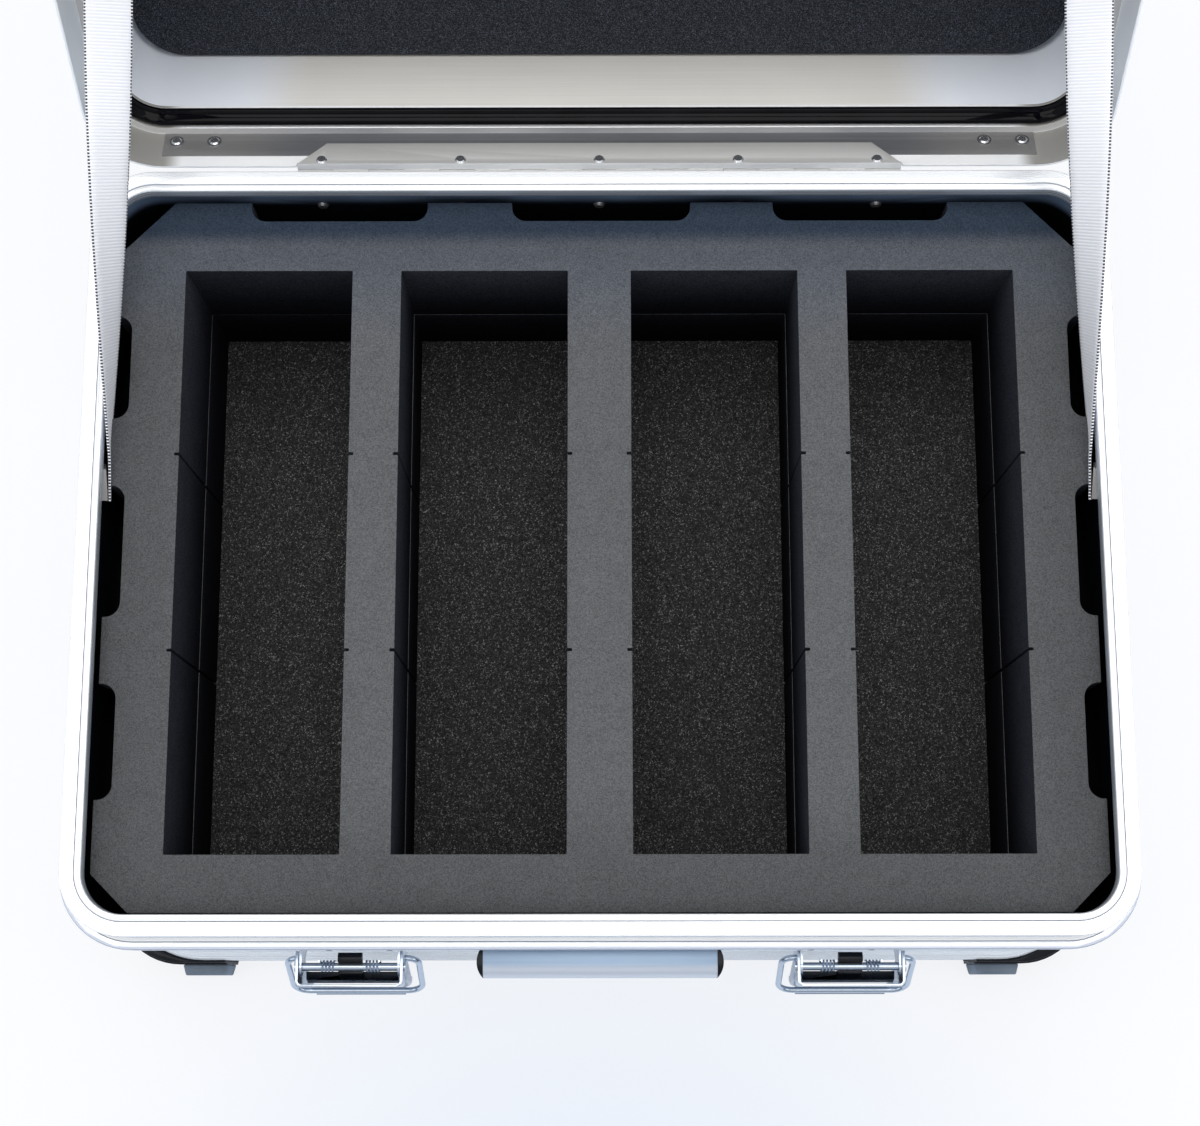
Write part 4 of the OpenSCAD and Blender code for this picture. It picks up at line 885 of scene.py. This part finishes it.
def make_camera():
    """The photo's camera: tilted back from straight down, then turned and rolled a little."""
    data = bpy.data.cameras.new("photo_camera")
    data.sensor_fit, data.sensor_width, data.lens = "HORIZONTAL", SENSOR, LENS
    camera = bpy.data.objects.new("photo_camera", data)
    bpy.context.scene.collection.objects.link(camera)
    cy, sy = math.cos(CAMERA_YAW), math.sin(CAMERA_YAW)
    ct, st = math.cos(CAMERA_TILT), math.sin(CAMERA_TILT)
    cr, sr = math.cos(CAMERA_ROLL), math.sin(CAMERA_ROLL)
    level_right = Vector((cy, sy, 0))
    level_up = Vector((-sy * ct, cy * ct, st))
    back = level_right.cross(level_up)
    right = cr * level_right + sr * level_up
    up = -sr * level_right + cr * level_up
    turn = Matrix((right, up, back)).transposed().to_4x4()
    camera.matrix_world = Matrix.Translation(CAMERA_AT) @ turn
    bpy.context.scene.camera = camera


def background_rays(tree):
    """1 for rays straight from the camera or through glass, which see the plain background."""
    path = tree.nodes.new("ShaderNodeLightPath")
    first = tree.nodes.new("ShaderNodeMath")
    first.operation = "MAXIMUM"
    tree.links.new(path.outputs["Is Camera Ray"], first.inputs[0])
    tree.links.new(path.outputs["Is Transmission Ray"], first.inputs[1])
    return first.outputs[0]


FLOOR_SIZE, FLOOR_GLOW = 14.0, 0.82


def make_floor():
    """A pale floor that keeps soft shadows, with a painted bluish shadow in front of the case."""
    bpy.ops.object.select_all(action="DESELECT")
    bpy.ops.mesh.primitive_plane_add(size=FLOOR_SIZE, location=(0, 0, 0))
    floor = bpy.context.object
    floor.name = "studio_floor"
    material = bpy.data.materials.new("pale_floor")
    material.use_nodes = True
    tree = material.node_tree
    plain = tree.nodes["Principled BSDF"]
    plain.inputs["Base Color"].default_value = (0.84, 0.88, 0.94, 1)
    plain.inputs["Roughness"].default_value = 0.85
    glow = tree.nodes.new("ShaderNodeEmission")
    where = tree.nodes.new("ShaderNodeTexCoord")
    # Painted shadow: bluish in front of the case, fading to near white.
    ellipse = tree.nodes.new("ShaderNodeMapping")
    ellipse.inputs["Location"].default_value = (0.0, 1.45, 0.0)
    ellipse.inputs["Scale"].default_value = (1.7, 2.6, 0.0)
    length = tree.nodes.new("ShaderNodeVectorMath")
    length.operation = "LENGTH"
    front_shadow = tree.nodes.new("ShaderNodeValToRGB")
    front_shadow.color_ramp.interpolation = "EASE"
    front_shadow.color_ramp.elements[0].color = (0.80, 0.86, 0.955, 1)
    front_shadow.color_ramp.elements[1].color = (0.99, 0.99, 1.0, 1)
    tree.links.new(where.outputs["Object"], ellipse.inputs["Vector"])
    tree.links.new(ellipse.outputs["Vector"], length.inputs[0])
    tree.links.new(length.outputs["Value"], front_shadow.inputs["Fac"])
    tree.links.new(front_shadow.outputs["Color"], glow.inputs["Color"])
    share = tree.nodes.new("ShaderNodeMath")
    share.operation = "MULTIPLY"
    share.inputs[1].default_value = FLOOR_GLOW
    tree.links.new(background_rays(tree), share.inputs[0])
    mixer = tree.nodes.new("ShaderNodeMixShader")
    tree.links.new(share.outputs[0], mixer.inputs[0])
    tree.links.new(plain.outputs[0], mixer.inputs[1])
    tree.links.new(glow.outputs[0], mixer.inputs[2])
    tree.links.new(mixer.outputs[0], tree.nodes["Material Output"].inputs["Surface"])
    floor.data.materials.append(material)


def make_world():
    """White for the camera, and a soft sky that darkens to the horizon for light and gloss."""
    world = bpy.data.worlds.new("studio")
    bpy.context.scene.world = world
    world.use_nodes = True
    tree = world.node_tree
    soft = tree.nodes["Background"]
    white = tree.nodes.new("ShaderNodeBackground")
    white.inputs["Color"].default_value = (1, 1, 1, 1)
    coords = tree.nodes.new("ShaderNodeTexCoord")
    parts = tree.nodes.new("ShaderNodeSeparateXYZ")
    tree.links.new(coords.outputs["Generated"], parts.inputs["Vector"])
    ramp = tree.nodes.new("ShaderNodeValToRGB")
    bands = ramp.color_ramp
    bands.elements[0].position, bands.elements[0].color = 0.0, (0.34, 0.40, 0.49, 1)
    bands.elements[1].position, bands.elements[1].color = 0.75, (1.0, 1.0, 1.0, 1)
    middle = bands.elements.new(0.35)
    middle.color = (0.50, 0.56, 0.64, 1)
    tree.links.new(parts.outputs["Z"], ramp.inputs["Fac"])
    tree.links.new(ramp.outputs["Color"], soft.inputs["Color"])
    soft.inputs["Strength"].default_value = 0.8
    mixer = tree.nodes.new("ShaderNodeMixShader")
    tree.links.new(background_rays(tree), mixer.inputs[0])
    tree.links.new(soft.outputs[0], mixer.inputs[1])
    tree.links.new(white.outputs[0], mixer.inputs[2])
    tree.links.new(mixer.outputs[0], tree.nodes["World Output"].inputs["Surface"])


def soft_box(name, at, aim, size, power):
    """A square lamp that looks at a point."""
    data = bpy.data.lights.new(name, "AREA")
    data.shape, data.size, data.size_y, data.energy = "RECTANGLE", size[0], size[1], power
    lamp = bpy.data.objects.new(name, data)
    lamp.location = at
    lamp.rotation_euler = (Vector(aim) - Vector(at)).to_track_quat("-Z", "Y").to_euler()
    bpy.context.scene.collection.objects.link(lamp)


def make_lights():
    soft_box("overhead_box", (0.0, 0.7, 3.4), (0.0, 0.5, 0.3), (3.4, 2.8), 62.0)
    soft_box("left_box", (-2.6, -0.6, 1.9), (0.0, 0.1, 0.3), (1.6, 1.6), 10.0)
    soft_box("right_box", (2.6, -0.6, 1.9), (0.0, 0.1, 0.3), (1.6, 1.6), 10.0)


make_camera()
make_floor()
make_world()
make_lights()
make_straps()
make_foams()
make_lid_foam()
make_hard_parts()

bpy.context.scene.view_settings.view_transform = "Standard"
